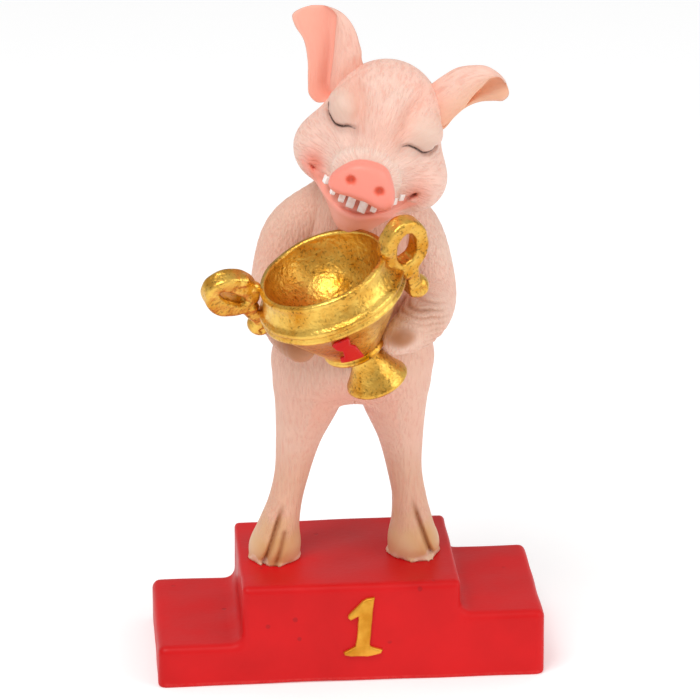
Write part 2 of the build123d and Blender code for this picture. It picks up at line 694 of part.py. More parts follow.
def arm_points(name, side):
    """The bone line of an arm: root in the torso, upper arm, elbow, wrist and the tip of the hoof."""
    grip = RIM_CENTRE - CUP_AXIS * GRIP_DROP
    height = LEG_LENGTH + ARM_RISE
    root = figure_point(side * ARM_ROOT_SPREAD / 2, ARM_SETBACK, height)
    upper = figure_point(side * UPPER_ARM_SPREAD[name] / 2, ARM_SETBACK, height - UPPER_ARM_DROP)
    elbow = figure_point(side * ELBOW_SPREAD[name] / 2, -ELBOW_FORWARD, height - ELBOW_DROP)
    wrist = Vector(grip.X + side * WRIST_SPREAD / 2, (elbow.Y + 2 * grip.Y) / 3, root.Z - WRIST_DROP)
    tip = Vector(grip.X + side * HAND_SPREAD[name] / 2, grip.Y, root.Z - HAND_DROP)
    return root, upper, elbow, wrist, tip


# Arms: each comes down the flank, turns at the elbow and holds the cup from below
for name, side in SIDES.items():
    with BuildLine() as bone:
        Spline(*arm_points(name, side))
    line = bone.line
    with BuildPart() as arm:
        loft(
            [
                oval(Plane(line @ along, x_dir=(side, 0, 1), z_dir=line % along), girth, girth)
                for along, girth in ARM_GIRTHS
            ]
        )
        for neighbour in (torso.part, head.part, trophy_foot.part, cup_outside(GRIP_CLEARANCE)):
            add(neighbour, mode=Mode.SUBTRACT)
        pin_bore(*shoulder_pin_ends(side), JOINT_PIN_RADIUS)
    save(arm.part, f"{name}_arm")

# Tail: one loose curl, its root against the rump
with BuildPart() as tail:
    rump = figure_point(0, HIP_DEPTH / 2, LEG_LENGTH + TAIL_RISE)
    with BuildLine() as curl:
        coil = rump - Vector(0, TAIL_GIRTH, 0)
        Helix(TAIL_PITCH, TAIL_LENGTH, TAIL_COIL_RADIUS, center=coil, direction=(0, 1, 0))
    with BuildSketch(Plane(curl.line @ 0, z_dir=curl.line % 0)):
        Circle(TAIL_GIRTH / 2)
    sweep(path=curl.line, is_frenet=True)
    add(torso.part, mode=Mode.SUBTRACT)
save(tail.part, "tail")


def dowel(start, end, radius):
    """A pin that fills its bore from end to end."""
    with Locations(Plane(origin=start, z_dir=end - start)):
        Cylinder(radius, (end - start).length, align=(Align.CENTER, Align.CENTER, Align.MIN))


# Pins: plain steel dowels, glued in their bores
with BuildPart() as foot_pins:
    for side in SIDES.values():
        dowel(*foot_pin_ends(side), FOOT_PIN_RADIUS)
save(foot_pins.part, "foot_pins")

with BuildPart() as hip_pins:
    for side in SIDES.values():
        dowel(*hip_pin_ends(side), JOINT_PIN_RADIUS)
save(hip_pins.part, "hip_pins")

with BuildPart() as shoulder_pins:
    for side in SIDES.values():
        dowel(*shoulder_pin_ends(side), JOINT_PIN_RADIUS)
save(shoulder_pins.part, "shoulder_pins")

with BuildPart() as neck_pin:
    dowel(*NECK_PIN, NECK_PIN_RADIUS)
save(neck_pin.part, "neck_pin")
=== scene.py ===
"""Pig figurine on a winners' podium: the painted surfaces of each casting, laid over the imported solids."""

import bpy
import numpy as np
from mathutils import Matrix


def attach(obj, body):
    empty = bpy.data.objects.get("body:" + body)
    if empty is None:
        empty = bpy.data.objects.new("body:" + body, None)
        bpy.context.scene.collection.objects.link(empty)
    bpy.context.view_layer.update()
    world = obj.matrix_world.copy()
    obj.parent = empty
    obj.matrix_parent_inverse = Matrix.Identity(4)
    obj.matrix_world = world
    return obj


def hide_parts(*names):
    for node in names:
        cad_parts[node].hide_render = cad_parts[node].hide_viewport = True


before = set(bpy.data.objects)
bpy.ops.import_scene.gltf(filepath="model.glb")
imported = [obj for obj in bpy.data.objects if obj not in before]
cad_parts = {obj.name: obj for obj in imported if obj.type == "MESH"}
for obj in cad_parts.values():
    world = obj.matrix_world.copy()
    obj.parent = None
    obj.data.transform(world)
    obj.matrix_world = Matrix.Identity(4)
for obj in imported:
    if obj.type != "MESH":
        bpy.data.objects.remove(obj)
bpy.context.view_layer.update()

# Podium
# One stepped block of cast resin in satin red paint. It comes out of a soft rubber mould, so its edges
# are rounded and its faces a little uneven, and the paint has caught specks. Its rounded edges are
# painted paler: partly paint worn thin, partly a painted highlight.
PODIUM_HALF_WIDTH, PODIUM_HALF_DEPTH = 46.0, 20.2
CENTRE_HALF_WIDTH, CENTRE_TOP = 25.8, 25.0
LOW_STEP_TOP, HIGH_STEP_TOP = 10.3, 16.5
STEP_OVERLAP, STEP_FILLET = 8.0, 3.4
STEP_EDGE, CENTRE_EDGE, FACE_EDGE, SOLE_EDGE = 1.9, 1.1, 2.2, 0.8
PODIUM_UNEVEN = 0.09


def tint(red, green, blue):
    """A colour as a painter reads it off a chart, made linear for the shader."""
    share = np.array([red, green, blue], float) / 255
    return np.where(share <= 0.04045, share / 12.92, ((share + 0.055) / 1.055) ** 2.4)


def join(a, b, blend):
    """Two solids run together with a soft fillet."""
    overlap = np.maximum(blend - np.abs(a - b), 0) / blend
    return np.minimum(a, b) - overlap * overlap * blend / 4


def common(a, b, blend):
    """What two solids share, its edge rounded over."""
    return -join(-a, -b, blend)


def carve(a, b, blend):
    """One solid with another cut out of it, the edge rounded over."""
    return -join(-a, b, blend)


def ripple(p, pitch, seed):
    """A slow unevenness, between -1 and 1, from a few crossed waves."""
    dice = np.random.default_rng(seed)
    total = np.zeros(len(p), np.float32)
    for _ in range(6):
        total += np.sin(p @ (dice.normal(size=3) * 2 * np.pi / pitch / 1.7) + dice.uniform(0, 6.3))
    return total / 3


def sculpt(field, low, high, cell):
    """The skin of a solid given as a distance field: points, quads and normals, in millimetres."""
    cell = cell
    axes = [np.arange(a, b + cell, cell, dtype=np.float32) for a, b in zip(low, high)]
    size = np.array([len(a) for a in axes])
    value = np.empty(size, np.float32)
    across, up = np.meshgrid(axes[1], axes[2], indexing="ij")
    for i, x in enumerate(axes[0]):
        slab = np.stack([np.full_like(across, x), across, up], -1).reshape(-1, 3)
        value[i] = field(slab).reshape(across.shape)
    inside = value < 0
    corners = np.array([[i, j, k] for i in (0, 1) for j in (0, 1) for k in (0, 1)])
    unit = np.eye(3, dtype=int)
    filled = np.zeros(size - 1, np.int8)
    for i, j, k in corners:
        filled += inside[i : size[0] - 1 + i, j : size[1] - 1 + j, k : size[2] - 1 + k]
    cells = np.argwhere((filled > 0) & (filled < 8))
    number = np.full(size - 1, -1, np.int64)
    number[tuple(cells.T)] = np.arange(len(cells))
    middle, crossings = np.zeros((len(cells), 3)), np.zeros(len(cells))
    for a in corners:
        for axis in range(3):
            if a[axis]:
                continue
            b = a + unit[axis]
            start, end = value[tuple((cells + a).T)], value[tuple((cells + b).T)]
            cut = (start < 0) != (end < 0)
            share = start[cut] / (start[cut] - end[cut])
            middle[cut] += a + share[:, None] * (b - a)
            crossings[cut] += 1
    points = (cells + middle / crossings[:, None]) * cell + np.array(low)
    quads = []
    for axis in range(3):
        one, two = unit[(axis + 1) % 3], unit[(axis + 2) % 3]
        step = unit[axis]
        first = inside[tuple(slice(0, n - s) for n, s in zip(size, step))]
        second = inside[tuple(slice(s, n) for n, s in zip(size, step))]
        edges = np.argwhere(first != second)
        edges = edges[((edges @ one) > 0) & ((edges @ two) > 0)]
        edges = edges[((edges @ one) < size @ one - 1) & ((edges @ two) < size @ two - 1)]
        ring = np.stack([number[tuple((edges - shift).T)] for shift in (one + two, two, 0 * one, one)], -1)
        outward = first[tuple(edges.T)]
        quads.append(np.where(outward[:, None], ring, ring[:, ::-1]))
    for _ in range(2):
        slope = gradient(field, points, cell / 4)
        step = slope * (field(points) / np.maximum((slope**2).sum(-1), 0.1))[:, None]
        points = points - np.clip(step, -cell, cell)
    slope = gradient(field, points, cell / 2)
    return points, np.concatenate(quads), slope / np.linalg.norm(slope, axis=1)[:, None]


def gradient(field, points, reach):
    """The way a field rises fastest at each point."""
    steps = np.eye(3) * reach
    return np.stack([field(points + step) - field(points - step) for step in steps], -1) / (2 * reach)


def relief(field, points, normals, reach):
    """How far each point lies in a hollow (above 0) or on an edge (below 0)."""
    hollow = 1 - field(points + normals * reach) / reach
    edge = 1 + field(points - normals * reach) / reach
    return np.clip(hollow, 0, 1) - np.clip(edge, 0, 1)


def placed(name, data):
    """A new object, put in the scene."""
    made = bpy.data.objects.new(name, data)
    bpy.context.scene.collection.objects.link(made)
    return made


def piece(name, points, faces, **attributes):
    """A smooth mesh object from points in millimetres, with what is painted or measured at each point."""
    mesh = bpy.data.meshes.new(name)
    mesh.from_pydata(np.asarray(points) / 1000, [], np.asarray(faces).tolist())
    mesh.shade_smooth()
    for label, values in attributes.items():
        values = np.asarray(values, np.float32)
        if values.ndim == 0:
            values = np.full(len(points), values)
        if values.ndim == 1:
            mesh.attributes.new(label, "FLOAT", "POINT").data.foreach_set("value", values)
        elif label == "paint":
            full = np.concatenate([values, np.ones((len(values), 1), np.float32)], 1)
            mesh.attributes.new(label, "FLOAT_COLOR", "POINT").data.foreach_set("color", full.ravel())
        else:
            mesh.attributes.new(label, "FLOAT_VECTOR", "POINT").data.foreach_set("vector", values.ravel())
    return placed(name, mesh)


class Wire:
    """One output in a node tree: sums and products of wires add Math nodes."""

    def __init__(self, tree, socket=None):
        self.tree, self.socket = tree, socket

    def node(self, kind, settings=None, output=0, **values):
        made = self.tree.nodes.new(kind)
        for key, value in (settings or {}).items():
            setattr(made, key, value)
        for key, value in values.items():
            socket = made.inputs[int(key[1:]) if key[0] == "_" else key.replace("_", " ")]
            if isinstance(value, Wire):
                self.tree.links.new(value.socket, socket)
            else:
                socket.default_value = value
        return Wire(self.tree, made.outputs[output])

    def noise(self, place, scale, detail=2.0, **more):
        """A cloudy pattern, finer as the scale rises."""
        return self.node("ShaderNodeTexNoise", Vector=place, Scale=scale, Detail=detail, **more)

    def maths(self, operation, a, b):
        return self.node("ShaderNodeMath", {"operation": operation}, _0=a, _1=b)

    def __add__(self, other):
        return self.maths("ADD", self, other)

    __radd__ = __add__

    def __sub__(self, other):
        return self.maths("SUBTRACT", self, other)

    def __rsub__(self, other):
        return self.maths("SUBTRACT", other, self)

    def __mul__(self, other):
        return self.maths("MULTIPLY", self, other)

    __rmul__ = __mul__

    def over(self, low, high):
        """This value stretched so that low becomes 0 and high becomes 1, and held there."""
        return self.node("ShaderNodeMapRange", _0=self, _1=low, _2=high)

    def mix(self, a, b):
        """Colour a turning to colour b as this value rises."""
        pair = {f"_{i}": c if isinstance(c, Wire) else (*c, 1) for i, c in ((6, a), (7, b))}
        return self.node("ShaderNodeMix", {"data_type": "RGBA"}, output=2, _0=self, **pair)


def coat(name, **fixed):
    """A new paint: its material, its shader and a wire to build its pattern from."""
    material = bpy.data.materials.new(name)
    material.use_nodes = True
    shader = material.node_tree.nodes["Principled BSDF"]
    for key, value in fixed.items():
        shader.inputs[key.replace("_", " ")].default_value = value
    return material, shader, Wire(material.node_tree)


def feed(shader, **wires):
    for key, wire in wires.items():
        wire.tree.links.new(wire.socket, shader.inputs[key.replace("_", " ")])


def podium_field(p):
    x, y, z = p.T

    def block(left, right, top, edge):
        wide = np.abs(x - (left + right) / 2) - (right - left) / 2 + edge
        tall = z - top + edge
        beyond = np.hypot(np.maximum(wide, 0), np.maximum(tall, 0))
        return beyond + np.minimum(np.maximum(wide, tall), 0) - edge

    low_step = block(-PODIUM_HALF_WIDTH, -CENTRE_HALF_WIDTH + STEP_OVERLAP, LOW_STEP_TOP, STEP_EDGE)
    high_step = block(CENTRE_HALF_WIDTH - STEP_OVERLAP, PODIUM_HALF_WIDTH, HIGH_STEP_TOP, STEP_EDGE)
    centre = block(-CENTRE_HALF_WIDTH, CENTRE_HALF_WIDTH, CENTRE_TOP, CENTRE_EDGE)
    outline = join(join(low_step, high_step, 0.1), centre, STEP_FILLET)
    solid = common(outline, np.abs(y) - PODIUM_HALF_DEPTH, FACE_EDGE)
    return common(solid, -z, SOLE_EDGE) + PODIUM_UNEVEN * ripple(p, 26, 3)


podium_low = (-PODIUM_HALF_WIDTH - 1, -PODIUM_HALF_DEPTH - 1, -1)
podium_high = (PODIUM_HALF_WIDTH + 1, PODIUM_HALF_DEPTH + 1, CENTRE_TOP + 1)
points, faces, normals = sculpt(podium_field, podium_low, podium_high, 0.55)
podium = piece("podium_block", points, faces, edge=-relief(podium_field, points, normals, 1.6))

red_paint, shader, wire = coat("red_paint", Specular_IOR_Level=0.2)
place = wire.node("ShaderNodeTexCoord", output=3)
edge = wire.node("ShaderNodeAttribute", {"attribute_name": "edge"}, output=2)
cloud = wire.noise(place, 55.0, 4.0)
grain = wire.noise(place, 900.0, 3.0)
dots = wire.node("ShaderNodeTexVoronoi", {"feature": "F1"}, Vector=place, Scale=210.0)
patches = wire.noise(place, 90.0)
speck = (1 - dots.over(0.10, 0.16)) * patches.over(0.60, 0.64)
colour = cloud.over(0.3, 0.7).mix(tint(196, 13, 16), tint(214, 22, 25))
# Paler rounded edges: partly worn paint, partly a painted highlight
colour = (edge.over(0.25, 0.75) * grain.over(0.3, 0.6) * 0.7).mix(colour, tint(232, 92, 88))
colour = (speck * 0.5).mix(colour, tint(150, 24, 30))
rough = 0.34 + 0.16 * cloud.over(0.35, 0.65) + 0.06 * grain
uneven = cloud * 0.6 + grain * 0.12 - speck * 0.15
bump = wire.node("ShaderNodeBump", Height=uneven, Strength=0.35, Distance=0.0008)
feed(shader, Base_Color=colour, Roughness=rough, Normal=bump)
podium.data.materials.append(red_paint)
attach(podium, "root")
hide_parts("podium")

# Podium numeral
# A flat figure one in yellow gold paint: a low resin plaque with soft edges, cast on its own and glued
# into a shallow seat in the podium's front face.
FIGURE_ONE = [
    (5.4, 22.1), (3.5, 21.8), (2.4, 21.2), (-0.9, 17.7), (-1.0, 17.0), (-0.4, 16.3), (1.5, 17.3),
    (1.1, 11.5), (0.7, 9.4), (-2.1, 7.9), (-1.8, 7.2), (-0.2, 6.8), (3.7, 6.7), (6.8, 7.4), (7.3, 8.3),
    (4.4, 9.3), (4.2, 9.8), (5.0, 19.3),
]
NUMERAL_PROUD = 0.9


def stretch(a, b, start, end):
    """Distance across a plane to the straight line between two points."""
    run, rise = end[0] - start[0], end[1] - start[1]
    share = np.clip(((a - start[0]) * run + (b - start[1]) * rise) / (run * run + rise * rise), 0, 1)
    return np.hypot(a - start[0] - share * run, b - start[1] - share * rise)


def drawn(a, b, outline):
    """Distance to a flat shape given by the corners of its outline, below 0 inside it."""
    corners = np.array(outline, float)
    nearest, inside = np.full(len(a), 1e9), np.zeros(len(a), bool)
    for start, end in zip(corners, np.roll(corners, -1, 0)):
        nearest = np.minimum(nearest, stretch(a, b, start, end))
        crossing = start[0] + (b - start[1]) * (end[0] - start[0]) / (end[1] - start[1] + 1e-9)
        inside ^= ((start[1] > b) != (end[1] > b)) & (a < crossing)
    return np.where(inside, -nearest, nearest)


def podium_numeral_field(p):
    plate = np.abs(p[:, 1] + PODIUM_HALF_DEPTH) - NUMERAL_PROUD
    return common(drawn(p[:, 0], p[:, 2], FIGURE_ONE), plate, 0.6) + 0.06 * ripple(p, 5, 6)


low, high = (-3, -PODIUM_HALF_DEPTH - 2, 5), (9, -PODIUM_HALF_DEPTH + 2, 23)
points, faces, _ = sculpt(podium_numeral_field, low, high, 0.25)
podium_numeral = piece("podium_numeral_plaque", points, faces)
plaque_gold, shader, wire = coat("plaque_gold", Metallic=0.85)
place = wire.node("ShaderNodeTexCoord", output=3)
cloud = wire.noise(place, 260.0, 4.0)
grain = wire.noise(place, 1500.0)
colour = cloud.over(0.35, 0.65).mix(tint(205, 138, 34), tint(232, 172, 62))
bump = wire.node("ShaderNodeBump", Height=cloud + grain * 0.4, Strength=0.3, Distance=0.0004)
feed(shader, Base_Color=colour, Roughness=0.38 + 0.15 * grain, Normal=bump)
podium_numeral.data.materials.append(plaque_gold)
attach(podium_numeral, "root")
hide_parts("podium_numeral")

# Legs and torso
# Pink-painted castings with fine hair strokes cut into the skin. The legs stand on pins and are glued up
# to the hips, and the seams are filled and painted over, so the pieces share one running surface.
LEAN = np.tan(np.radians(2.05))
SKIN, PALE, PINK = tint(235, 194, 172), tint(241, 214, 198), tint(239, 173, 151)
CORAL, TAN, BROWN = tint(249, 146, 128), tint(220, 178, 134), tint(158, 92, 46)
HALF_SPREAD = [
    (-2, 17.0), (3, 16.9), (8, 16.2), (14, 14.9), (20, 13.6), (29, 12.2), (39, 10.2), (46, 9.7), (54, 8.2),
    (60, 6.0),
]
LEG_WIDTH = [
    (-2, 5.6), (0, 6.0), (3, 6.2), (8, 5.0), (14, 4.1), (20, 4.1), (29, 5.3), (39, 7.8), (46, 9.0),
    (54, 7.6), (60, 3.5),
]
LEG_DEPTH = [
    (-2, 6.4), (0, 6.6), (3, 6.9), (8, 5.8), (14, 4.6), (20, 4.7), (29, 6.2), (39, 9.2), (46, 11.2),
    (54, 10.2), (60, 6.0),
]
LEG_FORWARD = [(-2, 1.2), (0, 1.1), (3, 1.0), (8, 0.6), (14, 0.0), (60, 0.0)]
FOOT_OFFSET, FOOT_RISE, FOOT_FADE = {-1: -0.2, 1: -0.7}, 15.0, 9.0
TORSO_WIDTH = [
    (41, 9.0), (43.5, 13.6), (48, 18.0), (55, 18.6), (65, 17.2), (75, 15.0), (85, 12.6), (93, 9.6), (97, 8.0),
]
TORSO_DEPTH = [
    (41, 8.0), (43.5, 10.8), (48, 13.4), (55, 14.2), (65, 13.6), (75, 10.8), (85, 10.2), (93, 8.8), (97, 7.6),
]
TORSO_BACK = [(41, 0.4), (55, 0.6), (65, 1.0), (75, 2.4), (85, 2.4), (97, 1.5)]
LEG_TOP, TORSO_FOOT, TORSO_TOP = 59.0, 41.0, 97.0
HIP_JOINT, HIP_LAP, HIP_BLEND = 42.6, 0.6, 3.6
CLEFTS = {
    -1: ([(-15.2, 39.4), (-17.4, 32.6), (-20.0, 25.4)], [(-15.0, 33.0), (-16.2, 28.6), (-17.2, 25.4)]),
    1: ([(15.5, 40.2), (17.3, 34.2), (20.0, 26.4)],),
}
CLEFT_WIDTH, CLEFT_DEPTHS = 0.55, (1.3, 0.5)
FLASH_HEIGHT, FLASH_WIDTH, FLASH_UNEVEN = 1.0, 0.3, 0.5
STROKES_ACROSS, STROKES_ALONG = 1.9, 0.28
NO_LINE = 9.0  # millimetres from a lash line, too far for any of its colour


def smooth(stations, heights):
    """A value read off a smooth curve through stations of (height, value)."""
    place, value = np.array(stations, float).T
    slope = np.gradient(value, place)
    at = np.clip(heights, place[0], place[-1])
    i = np.clip(np.searchsorted(place, at) - 1, 0, len(place) - 2)
    gap = place[i + 1] - place[i]
    t = (at - place[i]) / gap
    start, end = slope[i] * gap, slope[i + 1] * gap
    rise = value[i + 1] - value[i]
    return value[i] + t * (start + t * (3 * rise - 2 * start - end + t * (start + end - 2 * rise)))


def oval(offsets, radii):
    """Distance to an oval or an egg, near enough for blending, from the offsets along its axes."""
    reach = np.sqrt(sum((offset / radius) ** 2 for offset, radius in zip(offsets, radii)))
    slope = np.sqrt(sum((offset / radius**2) ** 2 for offset, radius in zip(offsets, radii)))
    return np.where(reach > 0.05, reach * (reach - 1) / np.maximum(slope, 1e-4), -np.min(radii, axis=0))


def ball(p, centre, radii):
    return oval((p - np.array(centre, float)).T, np.array(radii, float))


def rod(p, path, radii):
    """Distance to a rod through a row of points, its radius changing evenly between them."""
    nearest = np.full(len(p), 1e9, np.float32)
    for a, b, ra, rb in zip(path[:-1], path[1:], radii[:-1], radii[1:]):
        a, b = np.array(a, float), np.array(b, float)
        share = np.clip((p - a) @ (b - a) / ((b - a) @ (b - a)), 0, 1)
        away = np.linalg.norm(p - a - share[:, None] * (b - a), axis=1)
        nearest = np.minimum(nearest, away - ra - share * (rb - ra))
    return nearest


def flowing(path, count):
    """A smooth curve through a few points, as a row of close points."""
    path = np.array(path, float)
    along = np.append(0, np.cumsum(np.linalg.norm(np.diff(path, axis=0), axis=1)))
    at = np.linspace(0, along[-1], count)
    return np.stack([smooth(list(zip(along, column)), at) for column in path.T], -1)


def trail(a, b, *paths):
    """Distance across a plane to the nearest of some smooth lines, each drawn through a few points."""
    nearest = np.full(len(a), 1e9)
    for path in paths:
        line = flowing(path, 5 * len(path))
        for start, end in zip(line[:-1], line[1:]):
            nearest = np.minimum(nearest, stretch(a, b, start, end))
    return nearest


def groove(distance, width, depth):
    """The depth of a soft groove at a distance from its line."""
    return depth * np.exp(-((distance / width) ** 2))


def leg_field(p, side):
    height = p[:, 2] - CENTRE_TOP
    shift = FOOT_OFFSET[side] * np.clip((FOOT_RISE - height) / FOOT_FADE, 0, 1)
    spread = side * smooth(HALF_SPREAD, height) + shift
    x = p[:, 0] - height * LEAN - spread
    y = p[:, 1] + smooth(LEG_FORWARD, height)
    leg = oval((x, y), (smooth(LEG_WIDTH, height), smooth(LEG_DEPTH, height)))
    for path, depth in zip(CLEFTS[side], CLEFT_DEPTHS):
        fade = np.clip((path[0][1] - p[:, 2]) / 5, 0, 1) * np.clip(-y / 2, 0, 1)
        leg = leg + groove(trail(p[:, 0], p[:, 2], path), CLEFT_WIDTH, depth) * fade
    flash = FLASH_WIDTH + FLASH_UNEVEN * ripple(p, 5, 12)
    leg = leg - np.clip(FLASH_HEIGHT - height, 0, 1) * flash
    return np.maximum(leg, np.maximum(-height, height - LEG_TOP))


def torso_field(p):
    height = p[:, 2] - CENTRE_TOP
    x, y = p[:, 0] - height * LEAN, p[:, 1] - smooth(TORSO_BACK, height)
    trunk = oval((x, y), (smooth(TORSO_WIDTH, height), smooth(TORSO_DEPTH, height)))
    return np.maximum(trunk, np.maximum(TORSO_FOOT - height, height - TORSO_TOP))


def lower_body(p):
    legs = np.minimum(leg_field(p, -1), leg_field(p, 1))
    return join(torso_field(p), legs, HIP_BLEND)


def skin_paint(p, hollow, skin=SKIN, pink_tone=PINK):
    """The pink of the figure, cloudy all over: pinker in the hollows, partly airbrushed tone and partly
    painted shade, and paler on the crowns, a painted highlight.
    """
    cloud = 0.5 + 0.5 * ripple(p, 17, 8)
    # Pinker in the hollows: partly airbrushed tone, partly painted shade
    pink = np.clip(0.15 + 0.35 * cloud + 0.9 * np.clip(hollow, 0, 1), 0, 1)[:, None]
    # Paler on the crowns: a painted highlight
    pale = np.clip(-1.2 * hollow - 0.1, 0, 0.5)[:, None]
    colour = skin + (pink_tone - skin) * pink * 0.75
    return colour + (PALE - colour) * pale


def toward(colour, other, share):
    """A painted colour turned part of the way to another."""
    return colour + (other - colour) * np.clip(share, 0, 1)[:, None]


def strands(p):
    """Flow of the hair on the body: strokes run down the limbs."""
    return np.stack([p[:, 0] * STROKES_ACROSS, p[:, 1] * STROKES_ACROSS, p[:, 2] * STROKES_ALONG], -1)


def skinned(name, points, faces, paint, flow, bare=0.0, line=NO_LINE):
    """A piece in the skin paint: its colours, the run of its hair, where it has none, and the lash lines."""
    made = piece(name, points, faces, paint=paint, flow=flow, bare=bare, line=line)
    made.data.materials.append(skin_coat)
    return made


# Satin skin paint: the airbrushed colour at each point, which carries painted shade in the hollows and
# painted highlights on the crowns, with hair strokes cut along the run of the hair and painted shadow in the
# cuts
skin_coat, shader, wire = coat(
    "skin_paint",
    Specular_IOR_Level=0.45,
    Subsurface_Weight=0.08,
    Subsurface_Scale=0.001,
    Subsurface_Radius=(1.0, 0.4, 0.25),
)
# The colour painted at each point: airbrushed tone with painted shade and painted highlights in it
airbrush_and_shade = wire.node("ShaderNodeAttribute", {"attribute_name": "paint"})
flow = wire.node("ShaderNodeAttribute", {"attribute_name": "flow"}, output=1)
bare = wire.node("ShaderNodeAttribute", {"attribute_name": "bare"}, output=2)
line = wire.node("ShaderNodeAttribute", {"attribute_name": "line"}, output=2)
place = wire.node("ShaderNodeTexCoord", output=3)
strokes = wire.noise(flow, 1.0, 3.0, Roughness=0.55)
pores = wire.noise(place, 700.0)
cut = strokes.over(0.38, 0.58) * (1 - bare)
shadow = (1 - strokes.over(0.32, 0.48)) * (1 - bare) * 0.42
colour = shadow.mix(airbrush_and_shade, tint(222, 146, 124))
colour = (1 - line.over(0.10, 0.30)).mix(colour, tint(70, 44, 36))
bump = wire.node("ShaderNodeBump", Height=cut + pores * 0.1, Strength=0.5, Distance=0.0004)
feed(shader, Base_Color=colour, Roughness=0.52 - 0.12 * bare + 0.08 * strokes, Normal=bump)

hips = CENTRE_TOP + HIP_JOINT
for side, name in ((-1, "right_leg"), (1, "left_leg")):

    def casting(p, side=side):
        middle = (p[:, 2] - CENTRE_TOP) * LEAN
        return np.maximum(np.maximum(lower_body(p), p[:, 2] - hips - HIP_LAP), -side * (p[:, 0] - middle))

    low = (min(side * 25, 0) - 1, -15, CENTRE_TOP - 1)
    high = (max(side * 25, 0) + 4, 15, hips + 2)
    points, faces, normals = sculpt(casting, low, high, 0.42)
    height = points[:, 2] - CENTRE_TOP
    hollow = relief(casting, points, normals, 1.0)
    x = points[:, 0] - height * LEAN - side * smooth(HALF_SPREAD, height)
    paint = skin_paint(points, np.where(height > HIP_JOINT - 2, 0, hollow))
    # Pinker on the inner thigh below the hip: partly pink tone, partly painted shade between the legs
    paint = toward(paint, PINK, np.exp(-(((height - 40) / 7) ** 2)) * 0.5 * (side * x < 0))
    hoof = np.clip((11.5 + 1.5 * ripple(points, 5, 4) - height) / 6, 0, 1)
    cleft = trail(points[:, 0], points[:, 2], *CLEFTS[side])
    front = np.clip(0.3 - normals[:, 1], 0, 1)
    paint = toward(paint, tint(222, 166, 132), np.clip((30 - height) / 16, 0, 0.55))
    paint = toward(paint, TAN, hoof * 0.9)
    # Browner beside the hoof cleft: painted shade; the narrow brown line in the cleft itself is partly its
    # dark paint, partly painted shade
    paint = toward(paint, tint(206, 148, 88), hoof * front * groove(cleft, 3.0, 0.8))
    paint = toward(paint, BROWN, np.clip((15 - height) / 4, 0, 1) * front * groove(cleft, 0.6, 0.9))
    paint = toward(paint, PALE, np.clip((1.2 + ripple(points, 4, 12) - height) / 0.8, 0, 0.4))
    leg = skinned(name + "_skin", points, faces, paint, strands(points), hoof)
    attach(leg, "root")
    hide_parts(name)


def trunk_casting(p):
    return np.maximum(lower_body(p), hips - p[:, 2])


points, faces, normals = sculpt(trunk_casting, (-20, -17, 66), (26, 18, 124), 0.5)
hollow = relief(trunk_casting, points, normals, 1.4)
height = points[:, 2] - CENTRE_TOP
paint = skin_paint(points, np.where(height < HIP_JOINT + 2, 0, hollow))
# Pinker in the groin under the belly: partly pink tone, partly painted shade between the legs
groin_shade = np.exp(-(((height - 43) / 5) ** 2) - (((points[:, 0] - height * LEAN) / 9) ** 2))
paint = toward(paint, PINK, groin_shade * 0.8 * (points[:, 1] < 0))
torso = skinned("torso_skin", points, faces, paint, strands(points))
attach(torso, "root")
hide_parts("torso")

# Head
# One casting with the whole face in it: closed lids over lash lines, a flat snout disc on a ringed muzzle,
# and a wide grin. The hair strokes spread from the snout over the brow and the cheeks.
HEAD_AT = np.array([6.55, -3.295, 128.406])
HEAD_TURN, HEAD_ROLL = np.radians(10.0), np.radians(19.27)
HEAD_LEFT = np.array(
    [np.cos(HEAD_ROLL) * np.cos(HEAD_TURN), -np.cos(HEAD_ROLL) * np.sin(HEAD_TURN), -np.sin(HEAD_ROLL)]
)
HEAD_FRONT = np.array([-np.sin(HEAD_TURN), -np.cos(HEAD_TURN), 0])
HEAD_AXES = np.array([HEAD_LEFT, np.cross(HEAD_FRONT, HEAD_LEFT), HEAD_FRONT])
# Each egg that the head is built up from, as its centre and its three radii
SKULL = (0, 4.3, -3.2), (13.6, 15.4, 14.5)
CHEEK, CHEEK_SHIFT = ((9.6, -3.2, 2.4), (8.7, 8.3, 9.2)), 0.3
FACE = (0, 0, 5), (12.0, 11.5, 10.5)
CHIN, CHIN_SHIFT = ((0, -10.5, 7.0), (9.4, 9.5, 9.0)), 0.9
BRIDGE = (0, 7.5, 8.6), (3.6, 7.5, 5.0)
LID = (8.9, 8.4, 4.6), (4.9, 4.7, 5.9)
NOSTRIL_RADII, NOSTRIL_FRONT, SNOUT_FRONT, MUZZLE_FRONT = (1.1, 1.1, 1.7), 25.4, 25.3, 20.6
LASHES = [
    [(-13.5, 7.7), (-13.3, 6.5), (-11.9, 5.4), (-10.4, 4.8), (-9.0, 5.1), (-7.5, 5.8), (-5.8, 5.9)],
    [(5.6, 5.8), (6.8, 6.3), (8.7, 6.1), (10.9, 5.3), (12.1, 5.6), (12.8, 6.1), (13.0, 7.1)],
]
BROW_FURROWS = [
    [(-10.5, 14.2), (-7.8, 12.3), (-6.1, 10.0), (-5.6, 6.9)],
    [(6.1, 15.2), (4.6, 13.2), (4.2, 10.2), (4.9, 6.9)],
]
SNOUT = [
    (-7.6, -4.0), (-6.3, -0.5), (-2.6, 2.9), (3.0, 3.4), (5.9, 0.8), (7.7, -2.6), (7.8, -4.8), (5.8, -6.1),
    (0.4, -5.2), (-5.4, -5.7),
]
NOSTRILS = [(-3.0, -1.1), (3.9, -1.4)]
MOUTH_CORNERS = [(-11.3, -5.2, 10.2), (12.2, -4.0, 10.6)]
MOUTH_HALF_WIDTH, MOUTH_SLANT = 12.2, 0.075
MOUTH_CORNER, UPPER_LIP, LOWER_LIP = -5.4, -7.4, -11.7
GUM_BACK, GUM_FRONT = 9.2, 16.6
